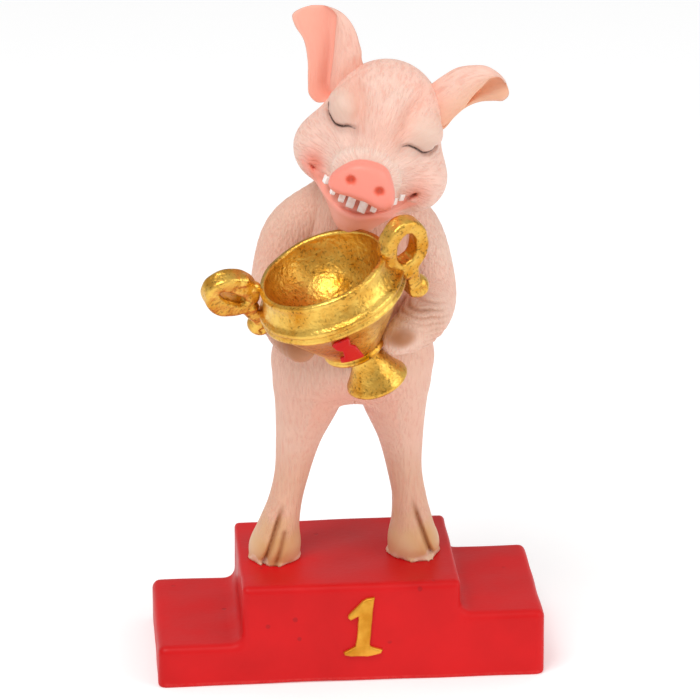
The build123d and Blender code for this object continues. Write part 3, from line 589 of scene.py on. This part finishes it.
NOSTRIL, BLUSH_AND_SHADE = tint(230, 102, 72), tint(244, 122, 102)
HEAD_SKIN, HEAD_PINK = tint(242, 205, 188), tint(245, 186, 168)


def to_head(p):
    """Points in the head's own frame: to the pig's left, up and forward."""
    return (p - HEAD_AT) @ HEAD_AXES.T


def from_head(q):
    return np.asarray(q, float) @ HEAD_AXES + HEAD_AT


def crescent(x, u):
    """Distance to the open grin, below 0 inside it."""
    rise = (x / MOUTH_HALF_WIDTH) ** 2
    top = UPPER_LIP + (MOUTH_CORNER - UPPER_LIP) * rise
    bottom = LOWER_LIP + (MOUTH_CORNER - LOWER_LIP) * rise
    level = u - MOUTH_SLANT * x
    return np.maximum(np.maximum(level - top, bottom - level) * 0.9, np.abs(x) - MOUTH_HALF_WIDTH)


def gum_line(x):
    """How far forward the gum stands across the mouth."""
    return GUM_BACK + (GUM_FRONT - GUM_BACK) * np.sqrt(np.clip(1 - (x / MOUTH_HALF_WIDTH) ** 2, 0, 1))


def round_loop(corners, count):
    """A closed smooth curve through a ring of corners."""
    corners = np.asarray(corners)
    at = np.linspace(0, len(corners), count, endpoint=False)
    i, t = at.astype(int), (at % 1)[:, None]
    a, b, c, d = (corners[(i + shift) % len(corners)] for shift in (-1, 0, 1, 2))
    return b + t * ((c - a) / 2 + t * (a - 2.5 * b + 2 * c - d / 2 + t * (1.5 * (b - c) + (d - a) / 2)))


SNOUT_LINE = round_loop(SNOUT, 40)


def head_field(p):
    q = to_head(p)
    x, u, f = q.T
    m = np.stack([np.abs(x), u, f], -1)
    head = ball(q, *SKULL)
    cheek = np.stack([np.abs(x - CHEEK_SHIFT), u, f], -1)
    head = join(head, ball(cheek, *CHEEK), 5)
    head = join(head, ball(q, *FACE), 4)
    narrowing = 1 + 0.09 * np.clip(-11 - u, 0, 8)
    chin = np.stack([(x - CHIN_SHIFT) * narrowing, u, f], -1)
    head = join(head, ball(chin, *CHIN), 3)
    muzzle = np.hypot(x, (u + 1.3) * 1.36) - (10.4 - 0.15 * f)
    head = join(head, common(np.maximum(muzzle, 4 - f), f - MUZZLE_FRONT, 2.6), 4)
    head = join(head, ball(q, *BRIDGE), 4)
    head = join(head, ball(m, *LID), 1.6)
    front = np.clip((f - 1) / 3, 0, 1)
    upper = np.clip((u + 4) / 3, 0, 1) * (np.hypot(x, u) < 13)
    head = head - upper * (groove(f - 18.0, 1.5, 0.5) - groove(f - MUZZLE_FRONT, 0.7, 0.3))
    head = head + front * groove(trail(x, u, *BROW_FURROWS), 1.7, 1.1)
    head = head + front * groove(trail(x, u, *LASHES), 0.5, 0.8)
    lower_lids = [[(a, b - 2.1) for a, b in line[1:-1]] for line in LASHES]
    head = head - front * groove(trail(x, u, *lower_lids), 1.4, 0.4)
    mouth = crescent(x, u)
    below = np.clip((MOUTH_CORNER + 0.9 - u) / 0.8, 0, 1) * (f > 4)
    lip = groove(np.abs(mouth - 0.9), 1.1, 0.4) * front * below
    head = carve(head - lip, np.maximum(mouth, gum_line(x) - 2.0 - f), 0.8)
    for corner in MOUTH_CORNERS:
        head = head + groove(np.linalg.norm((q - corner) / (1, 0.7, 1.6), axis=1), 1.5, 0.5)
    dome = f - SNOUT_FRONT + 0.012 * (x * x + u * u)
    head = join(head, common(np.maximum(drawn(x, u, SNOUT_LINE), 12 - f), dome, 2.0), 0.5)
    for a, b in NOSTRILS:
        head = carve(head, ball(q, (a, b, NOSTRIL_FRONT), NOSTRIL_RADII), 0.9)
    return head


points, faces, normals = sculpt(head_field, (-16, -32, 106), (30, 16, 152), 0.36)
hollow = relief(head_field, points, normals, 0.9)
x, u, f = to_head(points).T
side = np.abs(x)
paint = skin_paint(points, hollow * 0.8, HEAD_SKIN, HEAD_PINK)
lids = np.exp(-(((side - 9.4) / 4.2) ** 4) - (((u - 9.0) / 4.0) ** 4)) * (f > 0)
paint = toward(paint, tint(222, 188, 170), lids * 0.9)
for corner in MOUTH_CORNERS:
    spot = np.linalg.norm(np.stack([x, u, f], -1) - corner, axis=1)
    # Blush round each recessed mouth corner, partly airbrushed and partly painted shade, stronger at the
    # pig's right corner; the darker centre is painted shade in the recess
    paint = toward(paint, BLUSH_AND_SHADE, groove(spot, 3.6, 0.9 if corner[0] < 0 else 0.45))
    paint = toward(paint, tint(214, 132, 98), groove(spot, 1.8, 0.35))
# Pinker in the brow furrows: painted shade
paint = toward(paint, PINK, groove(trail(x, u, *BROW_FURROWS), 2.0, 0.5) * (f > 0))
# Pinker on the nose bridge: partly pink tone, partly painted shade
paint = toward(paint, PINK, groove(np.hypot(x * 1.2, (u - 7) * 0.8), 5.0, 0.4) * (f > 0))
paint = toward(paint, tint(246, 216, 200), groove(f - 18.2, 2.2, 0.7) * np.clip((u + 3) / 3, 0, 1))
mouth = crescent(x, u)
lips = np.clip((3.5 - mouth) / 1.4, 0, 1) * (u < MOUTH_CORNER + (UPPER_LIP - MOUTH_CORNER) * 0.3) * (f > 5)
chin = np.clip((-8.5 - u) / 2, 0, 1) * np.clip((f - 4.5) / 3, 0, 1) * np.clip((12 - side) / 3, 0, 1)
mouth_paint = np.maximum(lips, chin)
paint = toward(paint, tint(250, 158, 138), mouth_paint * 0.92)
# Paler on the low front of the chin: a painted highlight
paint = toward(paint, tint(255, 182, 164), chin * np.clip((-11.5 - u) / 3, 0, 0.85))
# Darker inside the open mouth: partly its coral paint, partly painted shade
paint = toward(paint, tint(222, 132, 108), np.clip(-mouth - 0.2, 0, 1) * 0.6 * (f > 4))
snout = np.clip((f - MUZZLE_FRONT) / 0.5, 0, 1) * np.clip((0.6 - drawn(x, u, SNOUT_LINE)) / 0.4, 0, 1)
paint = toward(paint, CORAL, snout)
for a, b in NOSTRILS:
    paint = toward(paint, NOSTRIL, np.exp(-((np.hypot(x - a, u - b) / 1.2) ** 4)) * snout * 0.9)
lash = trail(x, u, *LASHES) + 9 * (f < 1)
for line in LASHES:
    for a, b in (line[0], line[-1]):
        lash = lash + groove(np.hypot(x - a, u - b), 1.6, 0.12)
# Greyish band round the lash lines: painted shadow
paint = toward(paint, tint(196, 168, 156), groove(lash, 1.3, 0.5))
flow = np.stack([np.arctan2(x, u + 1) * 26, np.hypot(x, u + 1) * 0.28, f * 0.4], -1)
bare = np.clip(snout + mouth_paint + lids * 0.8, 0, 1)
head = skinned("head_skin", points, faces, paint, flow, bare, lash)
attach(head, "root")
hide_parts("head")

# Teeth
# A row of small uneven teeth standing on the gum, cast in one with the head and picked out in white with a
# fine brush. They repeat, so copies of one soft block are set along the gum line.
TEETH = [
    (-8.0, -6.9, 0.9, 1.8), (-5.7, -8.4, 1.0, 1.9), (-3.3, -9.0, 1.4, 2.4), (-1.0, -9.2, 1.9, 3.0),
    (1.9, -9.2, 1.8, 3.0), (4.4, -8.9, 1.3, 2.2), (8.2, -6.2, 1.0, 1.8), (9.4, -5.1, 0.8, 1.5),
]
TOOTH_DEPTH, TOOTH_SEAT, TOOTH_JITTER, TOOTH_SEED = 1.5, 1.1, 0.06, 7
enamel, shader, wire = coat("tooth_white", Roughness=0.35, Specular_IOR_Level=0.5)
place = wire.node("ShaderNodeTexCoord", output=3)
stain = wire.noise(place, 600.0)
feed(shader, Base_Color=stain.over(0.4, 0.7).mix(tint(253, 250, 247), tint(240, 214, 204)))


def scatter(name, points, turns, sizes, material, jitter, seed):
    """Copies of one small shape set on points, each with its own turn and size, and a little uneven."""
    tree = bpy.data.node_groups.new(name, "GeometryNodeTree")
    tree.interface.new_socket("Geometry", in_out="INPUT", socket_type="NodeSocketGeometry")
    jitter_input = tree.interface.new_socket("Jitter", in_out="INPUT", socket_type="NodeSocketFloat")
    seed_input = tree.interface.new_socket("Seed", in_out="INPUT", socket_type="NodeSocketInt")
    tree.interface.new_socket("Geometry", in_out="OUTPUT", socket_type="NodeSocketGeometry")
    wire, given = Wire(tree), tree.nodes.new("NodeGroupInput").outputs
    base, spread, draw = (Wire(tree, given[label]) for label in ("Geometry", "Jitter", "Seed"))
    vector = {"data_type": "FLOAT_VECTOR"}
    cube = wire.node("GeometryNodeMeshCube", Size=(0.001, 0.001, 0.001))
    level = 3
    block = wire.node("GeometryNodeSubdivisionSurface", Mesh=cube, Level=level, Edge_Crease=0.62)
    soft = wire.node("GeometryNodeSetShadeSmooth", Geometry=block)
    turn = wire.node("GeometryNodeInputNamedAttribute", vector, Name="turn")
    size = wire.node("GeometryNodeInputNamedAttribute", vector, Name="size")
    least, most = 1.0 - spread, 1.0 + spread
    uneven = wire.node("FunctionNodeRandomValue", {"data_type": "FLOAT"}, 1, _2=least, _3=most, Seed=draw)
    scale = wire.node("ShaderNodeVectorMath", {"operation": "SCALE"}, _0=size, Scale=uneven)
    copies = wire.node("GeometryNodeInstanceOnPoints", Points=base, Instance=soft, Rotation=turn, Scale=scale)
    real = wire.node("GeometryNodeRealizeInstances", Geometry=copies)
    painted = wire.node("GeometryNodeSetMaterial", Geometry=real, Material=material)
    tree.links.new(painted.socket, tree.nodes.new("NodeGroupOutput").inputs["Geometry"])
    seeds = piece(name + "_seeds", points, [], turn=turns, size=sizes)
    modifier = seeds.modifiers.new(name, "NODES")
    modifier.node_group = tree
    modifier[jitter_input.identifier] = jitter
    modifier[seed_input.identifier] = seed
    grown = seeds.evaluated_get(bpy.context.evaluated_depsgraph_get())
    mesh = bpy.data.meshes.new_from_object(grown)
    mesh.name = name
    bpy.data.objects.remove(seeds)
    return placed(name, mesh)


across, height, wide, tall = np.array(TEETH).T
seats = from_head(np.stack([across, height, gum_line(across) - TOOTH_SEAT], -1))
slope = np.arctan2(gum_line(across + 0.1) - gum_line(across - 0.1), 0.2)
turns = []
for yaw in slope:
    spin = np.array([[np.cos(yaw), 0, np.sin(yaw)], [0, 1, 0], [-np.sin(yaw), 0, np.cos(yaw)]])
    axes = (spin.T @ HEAD_AXES).T
    pitch, heading = np.arctan2(axes[2, 1], axes[2, 2]), np.arctan2(axes[1, 0], axes[0, 0])
    turns.append((pitch, -np.arcsin(axes[2, 0]), heading))
sizes = np.stack([wide, tall, 0 * wide + TOOTH_DEPTH], -1)
teeth = scatter("head_teeth", seats, turns, sizes, enamel, TOOTH_JITTER, TOOTH_SEED)
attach(teeth, "root")
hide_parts("head")

# Ears
# Thin folded leaves glued into the skull: the upper edge rolls forward over a coral hollow. Each is drawn
# as a row of closed sections, each with its far edge, its folded rim and the ridge of the fold.
EARS = {
    "right_ear": (
        [(-13.4, 4.8), (-16.0, 3.7), (-18.2, 4.9), (-19.3, 7.4), (-21.2, 12.6), (-23.9, 17.1), (-26.6, 19.3),
         (-27.9, 21.4), (-26.4, 23.6), (-24.6, 24.9)],
        [(-12.4, 6.0), (-14.2, 8.8), (-15.1, 12.4), (-16.4, 18.0), (-17.3, 21.2), (-17.9, 23.6),
         (-18.6, 25.2), (-20.0, 25.9), (-21.5, 25.9)],
        [(-7.0, 14.0), (-9.6, 17.0), (-10.2, 18.6), (-11.2, 20.1), (-12.9, 22.5), (-14.7, 24.2),
         (-16.9, 25.5), (-19.2, 26.0), (-21.0, 26.0)],
    ),
    "left_ear": (
        [(10.5, 5.0), (13.8, 7.7), (14.9, 10.8), (16.6, 14.1), (19.3, 16.7), (22.0, 18.0), (24.2, 19.0),
         (24.9, 21.0), (24.2, 22.5)],
        [(10.5, 8.0), (13.3, 9.4), (14.7, 12.2), (16.2, 15.3), (17.1, 18.4), (18.3, 21.2), (19.7, 24.0),
         (21.5, 24.7), (22.9, 23.6)],
        [(5.0, 14.0), (7.0, 16.6), (9.1, 19.8), (11.5, 22.8), (14.6, 24.7), (17.6, 25.7), (20.4, 25.3),
         (22.2, 24.5), (23.2, 23.5)],
    ),
}
EAR_UNDERCUT = {"right_ear": 0.4, "left_ear": 1.6}
EAR_SOFTNESS = {"right_ear": 3.2, "left_ear": 1.4}
EAR_INNER = {"right_ear": tint(250, 170, 148), "left_ear": tint(240, 184, 150)}
EAR_DEPTHS = {"right_ear": (-4.0, -5.4, -3.0, -5.0, -8.8), "left_ear": (-5.6, -6.4, -1.8, -4.4, -8.6)}
EAR_ROWS, EAR_LOOP = 56, 72


def tube(rows, loop):
    """The quads of a tube through rows of closed sections, shut at both ends."""
    row, column = np.meshgrid(np.arange(rows - 1), np.arange(loop), indexing="ij")
    after = (column + 1) % loop
    below, above = row * loop, (row + 1) * loop
    wall = np.stack([below + column, above + column, above + after, below + after], -1).reshape(-1, 4)
    half, last = np.arange(loop // 2 - 1), loop - 1
    end = np.stack([half, half + 1, last - 1 - half, last - half], -1)
    return np.concatenate([wall, end, (rows - 1) * loop + end[:, ::-1]])


for name, guides in EARS.items():
    far, rim, ridge = (flowing(guide, EAR_ROWS) for guide in guides)
    edge_f, floor_f, rim_f, ridge_f, back_f = EAR_DEPTHS[name]
    rows = []
    for step, (e, d, r) in enumerate(zip(far, rim, ridge)):
        thin = np.clip((EAR_ROWS - 1 - step) / (0.22 * EAR_ROWS), 0.04, 1) ** 0.6
        middle = ridge_f + (np.array([edge_f, floor_f, rim_f, ridge_f, back_f]) - ridge_f) * thin
        ring = [
            (*e, middle[0]),
            (*(e + (d - e) * 0.35), middle[1] + 1.3 * thin),
            (*(e + (d - e) * 0.85), middle[1]),
            (*(d + (r - d) * 0.1), middle[2] - EAR_UNDERCUT[name] * thin),
            (*d, middle[2] - 0.4 * thin),
            (*(d + (r - d) * 0.45), middle[2] + 0.2 * thin),
            (*r, middle[3]),
            (*(r + (e - r) * 0.4), middle[4]),
            (*(r + (e - r) * 0.85), middle[4] + 2.6 * thin),
        ]
        rows.append(round_loop(ring, EAR_LOOP))
    rows = np.array(rows)
    points = from_head(rows.reshape(-1, 3))
    faces = tube(EAR_ROWS, EAR_LOOP)
    faces = faces if name == "left_ear" else faces[:, ::-1]
    around = np.tile(np.linspace(0, 9, EAR_LOOP, endpoint=False), EAR_ROWS)
    along = np.repeat(np.linspace(0, 1, EAR_ROWS), EAR_LOOP)
    inner = np.clip((around + 0.3) / 0.8, 0, 1) * np.clip((5.4 - around) / EAR_SOFTNESS[name], 0, 1)
    paint = skin_paint(points, 0 * along, HEAD_SKIN, HEAD_PINK)
    paint = toward(paint, PINK, 0.15 + 0.4 * np.exp(-(((along - 0.15) / 0.15) ** 2)))
    paint = toward(paint, EAR_INNER[name], inner * 0.95)
    flow = np.stack([around * 5.0, along * 5.0, 0 * along], -1)
    ear = skinned(name + "_skin", points, faces, paint, flow, inner * 0.85)
    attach(ear, "root")
    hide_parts(name)

# Arms
# Two bent castings that go on after the cup: pinned at the shoulder, the forearm coming round the flank
# and the hoof closed on the cup from below. The pad is painted brown, and on the right hoof, half hidden
# behind the cup, the brown is widened and darkened as painted shade; the wrist creases are darkened brown
# with painted shade, and the left arm is painted paler, a painted highlight.
ARMS = {
    "right_arm": [
        (-3.35, 3, 113), (-12.4, 3, 104), (-16.2, -3, 92.0), (-13.8, -16.6, 88.6), (-12.2, -24.6, 87.6),
    ],
    "left_arm": [(9.65, 3, 113), (16.03, 3, 104), (19.6, -3, 92.0), (15.6, -16.8, 89.4), (10.0, -24.4, 88.6)],
}
ARM_RADII = [(0, 6.0), (0.2, 7.2), (0.4, 6.5), (0.6, 6.0), (0.8, 5.4), (0.93, 4.6), (1.0, 3.6)]
# The left arm's paler tones are a painted highlight
ARM_TONES_AND_LIGHT = {"right_arm": (SKIN, PINK), "left_arm": (tint(241, 206, 187), tint(241, 182, 162))}
PAD_SIZES = {"right_arm": (8.0, 8.0, 4.6), "left_arm": (3.8, 4.5, 2.3)}
PADS = {"right_arm": (-15.4, -27.0, 87.4), "left_arm": (11.0, -28.0, 90.0)}
CREASE_RUN, CREASE_DEPTH = np.array([1.2, 0.6, 4.4]), 0.3
ARM_ROWS = 26

for name, bones in ARMS.items():
    line = flowing(bones, ARM_ROWS)
    radii = smooth(ARM_RADII, np.linspace(0, 1, ARM_ROWS))
    pad = np.array(PADS[name])

    def arm_field(p, line=line, radii=radii):
        near = np.exp(-(((p - line[-6]) ** 2).sum(-1)) / 40)
        crease = np.sin(p @ CREASE_RUN + 2.0 * ripple(p, 9, 2))
        return rod(p, line, radii) + near * CREASE_DEPTH * crease

    low, high = line.min(0) - 8.5, line.max(0) + 8.5
    points, faces, normals = sculpt(arm_field, low, high, 0.45)
    hollow = relief(arm_field, points, normals, 0.9)
    paint = skin_paint(points, hollow, *ARM_TONES_AND_LIGHT[name])
    wrist = np.exp(-(((points - line[-5]) ** 2).sum(-1)) / 55)
    paint = toward(paint, tint(214, 160, 128), wrist * 0.6)
    # Brown in the wrist creases: painted shade
    paint = toward(paint, BROWN, wrist * np.clip(hollow * 4, 0, 1) * 0.7)
    # Brown pad on the hoof: partly its paint; the large dark pad of the right arm, behind the cup, is painted
    # shade
    hoof = np.exp(-((((points - pad) / PAD_SIZES[name]) ** 2).sum(-1) ** 2))
    paint = toward(paint, tint(164, 92, 22), hoof * 0.85)
    arm = skinned(name + "_skin", points, faces, paint, strands(points), hoof)
    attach(arm, "root")
    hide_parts(name)

# Tail
# One loose curl of cast resin in the same pink paint: a short coil of round section that tapers to its end,
# made on its own and glued to the rump.
TAIL_AT = np.array([1.7, 11.4, 74.6])
TAIL_COIL, TAIL_PITCH, TAIL_RUN, TAIL_GIRTH, TAIL_ROWS = 3.2, 5.5, 7.5, 3.0, 40
spin = np.linspace(0, 2 * np.pi * TAIL_RUN / TAIL_PITCH, TAIL_ROWS)
back = spin * TAIL_PITCH / 2 / np.pi
coil = TAIL_AT + np.stack([TAIL_COIL * np.cos(spin), back, TAIL_COIL * np.sin(spin)], -1)
girth = TAIL_GIRTH / 2 * np.linspace(1.0, 0.8, TAIL_ROWS)


def tail_field(p):
    return rod(p, coil, girth)


points, faces, normals = sculpt(tail_field, coil.min(0) - 2.5, coil.max(0) + 2.5, 0.35)
paint = skin_paint(points, relief(tail_field, points, normals, 0.7))
tail = skinned("tail_skin", points, faces, paint, strands(points))
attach(tail, "root")
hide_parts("tail")

# Cup bowl
# The bowl of a small two-handled prize cup, cast in resin with a moulded band and covered in gold leaf
# paint, which has gathered dark flecks in its grain.
CUP_AXIS = np.array([-np.tan(np.radians(20.3)), -np.tan(np.radians(11.0)), 1])
CUP_AXIS = CUP_AXIS / np.linalg.norm(CUP_AXIS)
CUP_RIM = np.array([-7.490, -27.024, 107.551])
CUP_ACROSS = np.array([1, 0, 0]) - CUP_AXIS * CUP_AXIS[0]
CUP_ACROSS = CUP_ACROSS / np.linalg.norm(CUP_ACROSS)
CUP_FRONT = np.cross(CUP_ACROSS, CUP_AXIS)
BOWL_OUTSIDE = [
    (14.2, -0.1), (14.8, 0.0), (15.2, -0.5), (15.2, -1.2), (14.9, -1.8), (15.4, -3.2), (16.0, -5.0),
    (16.4, -5.7), (17.1, -6.0), (17.4, -6.6), (17.1, -7.2), (16.9, -7.6), (17.3, -8.0), (17.3, -8.6),
    (16.7, -9.2), (15.9, -9.7), (12.8, -13.9), (9.7, -18.0), (7.0, -21.6), (6.8, -22.0), (7.1, -22.3),
    (7.3, -22.7), (7.1, -23.2), (6.6, -23.4), (4.0, -23.4), (0.2, -23.4),
]
CAVITY_RADIUS, CAVITY_DEPTH, CAVITY_LIP, CAVITY_ROWS = 14.19, 12.6, np.arcsin(0.112), 26
BOWL_SIDES, BOWL_UNEVEN = 144, 0.09


def turned(profile, centre, count):
    """A lathe-turned skin: a profile of (radius, height) spun round the cup's axis."""
    profile = np.array(profile, float)
    angle = np.linspace(0, 2 * np.pi, count, endpoint=False)
    ring = np.cos(angle)[:, None] * CUP_ACROSS + np.sin(angle)[:, None] * CUP_FRONT
    points = centre + profile[:, None, :1] * ring[None] + profile[:, None, 1:] * CUP_AXIS
    return points.reshape(-1, 3), tube(len(profile), count)[:, ::-1]


gilt, shader, wire = coat("gilt_leaf", Metallic=1.0)
place = wire.node("ShaderNodeTexCoord", output=3)
cloud = wire.noise(place, 70.0, 5.0, Roughness=0.65)
leaf = wire.noise(place, 1000.0, 3.0)
fleck = wire.noise(place, 1500.0)
colour = cloud.over(0.36, 0.62).mix(tint(198, 122, 8), tint(242, 200, 98))
colour = (fleck.over(0.56, 0.66) * (1 - cloud.over(0.42, 0.62)) * 0.75).mix(colour, tint(84, 60, 22))
bump = wire.node("ShaderNodeBump", Height=cloud * 0.25 + leaf * 0.7, Strength=0.6, Distance=0.0005)
feed(shader, Base_Color=colour, Roughness=0.22 + 0.24 * leaf, Normal=bump)

angles = np.linspace(np.pi / 2, CAVITY_LIP, CAVITY_ROWS)
inside = [(CAVITY_RADIUS * np.cos(a), CAVITY_RADIUS * (1 - np.sin(a)) - CAVITY_DEPTH) for a in angles]
points, faces = turned([(max(r, 0.02), h) for r, h in inside] + BOWL_OUTSIDE, CUP_RIM, BOWL_SIDES)
points = points + BOWL_UNEVEN * ripple(points, 9, 5)[:, None] * CUP_AXIS
bowl = piece("trophy_bowl_gilt", points, faces)
bowl.data.materials.append(gilt)
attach(bowl, "root")
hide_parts("trophy_bowl")

# Cup foot
# A small bell foot with a narrow neck in the same gold leaf, a little hollow underneath. It is cast apart
# and glued under the bowl, off its centre.
FOOT_SHIFT, FOOT_SIDES, FOOT_UNEVEN = 2.0, 112, 0.1
FOOT_OUTSIDE = [
    (0.2, -22.8), (3.4, -23.2), (3.4, -24.2), (3.7, -25.6), (4.2, -27.2), (4.9, -28.9), (5.8, -30.5),
    (6.7, -31.9), (7.2, -32.6), (7.3, -33.1), (6.9, -33.6), (6.0, -33.6), (5.4, -33.2), (0.2, -32.6),
]
points, faces = turned(FOOT_OUTSIDE, CUP_RIM + CUP_ACROSS * FOOT_SHIFT, FOOT_SIDES)
points = points + FOOT_UNEVEN * ripple(points, 7, 9)[:, None] * CUP_FRONT
foot = piece("trophy_foot_gilt", points, faces)
foot.data.materials.append(gilt)
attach(foot, "root")
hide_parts("trophy_foot")

# Cup handles
# Flat scrolls cast on their own: a ring above, and below it a hook that ends in a dimpled ball. Beads of
# glue show where each is fixed to the bowl's collar and band.
HANDLES = {
    "right_trophy_handle": (-1, 21.4, -1.5, 30.0, 25.0, 0.0),
    "left_trophy_handle": (1, 19.0, 1.2, 19.0, 6.0, 26.0),
}
HOLES = {"right_trophy_handle": (1.1, 4.2), "left_trophy_handle": (2.4, 4.1)}
CURLS = {"right_trophy_handle": (5.0, -14.4), "left_trophy_handle": (4.2, -12.8)}
HANDLE_HALF_DEPTH = 2.2
RING_HALF, HOOK_HALF, CURL_RADIUS = (5.8, 7.4), 1.6, 2.6
HOOK_ROOT = [(1.2, -5.2), (2.1, -8.6)]
GLUE = [(-5.0, 0.8, 1.4), (-4.6, -3.4, 1.2), (0.4, -7.4, 1.3)]


def lean(one, other, angle):
    """Two directions at right angles, turned together so that the first leans to the second."""
    return one * np.cos(angle) + other * np.sin(angle), other * np.cos(angle) - one * np.sin(angle)


for name, (side, reach, drop, splay, tilt, yaw) in HANDLES.items():
    hole, (curl_a, curl_b) = HOLES[name], CURLS[name]
    hook_line = HOOK_ROOT + [(curl_a - 1.4, curl_b - 0.4), (curl_a, curl_b - 0.9)]
    out = CUP_ACROSS * side
    centre = CUP_RIM + out * reach - CUP_AXIS * drop
    upright, along = lean(CUP_AXIS, out, np.radians(splay))
    upright, face = lean(upright, CUP_FRONT, np.radians(tilt))
    face, along = lean(face, along, np.radians(yaw))

    def handle_field(p, centre=centre, along=along, upright=upright, face=face):
        q = p - centre
        a, b, depth = q @ along, q @ upright, q @ face
        ring = oval((a, b), RING_HALF)
        hook = np.full(len(a), 1e9)
        for start, end in zip(hook_line[:-1], hook_line[1:]):
            hook = np.minimum(hook, stretch(a, b, start, end) - HOOK_HALF)
        flat = join(carve(ring, oval((a, b), hole), 0.6), hook, 0.8)
        plate = common(flat, np.abs(depth) - HANDLE_HALF_DEPTH, 1.1)
        curl = np.hypot(a - curl_a, b - curl_b)
        plate = join(plate, np.hypot(curl, depth * 0.95) - CURL_RADIUS, 0.5)
        plate = carve(plate, np.hypot(np.hypot(curl, 0.4) - 0.2, depth - 2.9) - 0.9, 0.4)
        for glue_a, glue_b, bead in GLUE:
            away = np.linalg.norm(np.stack([a - glue_a, b - glue_b, depth - 1.2], -1), axis=1)
            plate = join(plate, away - bead, 0.6)
        return plate + 0.08 * ripple(p, 4, 11)

    reaches = [(a, b, d) for a in (-8, 11) for b in (-19, 9) for d in (-4, 4)]
    corners = np.array([centre + along * a + upright * b + face * d for a, b, d in reaches])
    points, faces, _ = sculpt(handle_field, corners.min(0), corners.max(0), 0.34)
    handle = piece(name + "_gilt", points, faces)
    handle.data.materials.append(gilt)
    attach(handle, "root")
    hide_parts(name)

# Cup numeral
# A blocky figure one in low relief on the bowl's plain cone, between the band and the foot ring. It is cast
# with soft corners, glued on and brushed in the podium's red.
CUP_FIGURE = [
    (1.1, -10.0), (1.7, -10.6), (1.1, -13.6), (1.9, -15.0), (2.1, -18.6), (2.2, -21.4), (-3.3, -21.4),
    (-2.9, -18.9), (-1.7, -18.2), (-1.3, -15.5), (-2.4, -14.1), (-2.7, -11.4), (-1.4, -10.2),
]
CUP_CONE = [(height, radius) for radius, height in BOWL_OUTSIDE[15:19]][::-1]
CUP_SLOPE, CUP_FIGURE_PROUD = 1.29, 0.5


def cup_numeral_field(p):
    q = p - CUP_RIM
    h = q @ CUP_AXIS
    across, front = q @ CUP_ACROSS, q @ CUP_FRONT
    radius = np.hypot(across, front)
    skin_radius = smooth(CUP_CONE, h)
    proud = np.abs(radius - skin_radius) / CUP_SLOPE - CUP_FIGURE_PROUD
    outline = [(a, b * CUP_SLOPE) for a, b in CUP_FIGURE]
    figure = drawn(np.arctan2(across, front) * skin_radius, h * CUP_SLOPE, outline)
    return common(figure * 0.9, np.maximum(proud, -front), 0.5)


centre = CUP_RIM - CUP_AXIS * 16 + CUP_FRONT * 11
points, faces, _ = sculpt(cup_numeral_field, centre - 9, centre + 9, 0.24)
cup_numeral = piece("trophy_numeral_red", points, faces, edge=0)
cup_numeral.data.materials.append(red_paint)
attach(cup_numeral, "root")
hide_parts("trophy_numeral")

# Pins
# Plain steel dowels cut from drawn rod and set in drilled holes between the castings. They are hidden once
# the figure is glued up.
steel, shader, wire = coat("pin_steel", Metallic=1.0)
place = wire.node("ShaderNodeTexCoord", output=3)
grain = wire.noise(place, 900.0, 3.0)
feed(shader, Base_Color=grain.mix(tint(150, 150, 154), tint(186, 186, 190)), Roughness=0.3 + 0.2 * grain)
for name in ("foot_pins", "hip_pins", "shoulder_pins", "neck_pin"):
    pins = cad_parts[name]
    pins.data.materials.clear()
    pins.data.materials.append(steel)

# Stage
# A plain pale floor that runs out of sight, soft studio light from two square lamps and a white room, and
# the camera at the photograph's angle.
FLOOR_HALF = 3000
LAMPS = {"key": ((-0.45, -0.6, 1.35), 0.7, 10.4), "fill": ((0.9, -0.5, 0.6), 0.8, 3.6)}
LAMP_AIM, ROOM_LIGHT = (0, 0, 0.08), 0.58
CAMERA_AIM, CAMERA_AWAY = np.array([0.001136, 0, 0.076763]), 0.9
CAMERA_TURN, CAMERA_TILT = np.radians(-4.677), np.radians(21.5)
FOCUS_PIXELS, PHOTO_PIXELS = 3823.1, 700
corners = [(a * FLOOR_HALF, b * FLOOR_HALF, 0) for a, b in ((-1, -1), (1, -1), (1, 1), (-1, 1))]
floor = piece("floor", corners, [(0, 1, 2, 3)])
ground, _, _ = coat("floor_white", Base_Color=(0.9, 0.9, 0.9, 1), Roughness=0.8, Emission_Strength=0.22)
floor.data.materials.append(ground)
world = bpy.data.worlds.new("studio")
bpy.context.scene.world = world
world.use_nodes = True
room = world.node_tree.nodes["Background"].inputs
room["Color"].default_value = (1, 1, 1, 1)
room["Strength"].default_value = ROOM_LIGHT
for label, (where, size, power) in LAMPS.items():
    lamp = bpy.data.lights.new(label, "AREA")
    lamp.size, lamp.energy = size, power
    stand, aim = placed(label, lamp), placed(label + "_aim", None)
    stand.location, aim.location = where, LAMP_AIM
    track = stand.constraints.new("TRACK_TO")
    track.target, track.track_axis, track.up_axis = aim, "TRACK_NEGATIVE_Z", "UP_Y"

lens = bpy.data.cameras.new("photo_view")
lens.lens = FOCUS_PIXELS / PHOTO_PIXELS * lens.sensor_width
camera = placed("photo_view", lens)
level = np.cos(CAMERA_TILT)
away = np.array([np.sin(CAMERA_TURN) * level, -np.cos(CAMERA_TURN) * level, np.sin(CAMERA_TILT)])
camera.location = CAMERA_AIM + away * CAMERA_AWAY
camera.rotation_euler = (np.pi / 2 - CAMERA_TILT, 0, CAMERA_TURN)
bpy.context.scene.camera = camera
bpy.context.scene.view_settings.view_transform = "Standard"
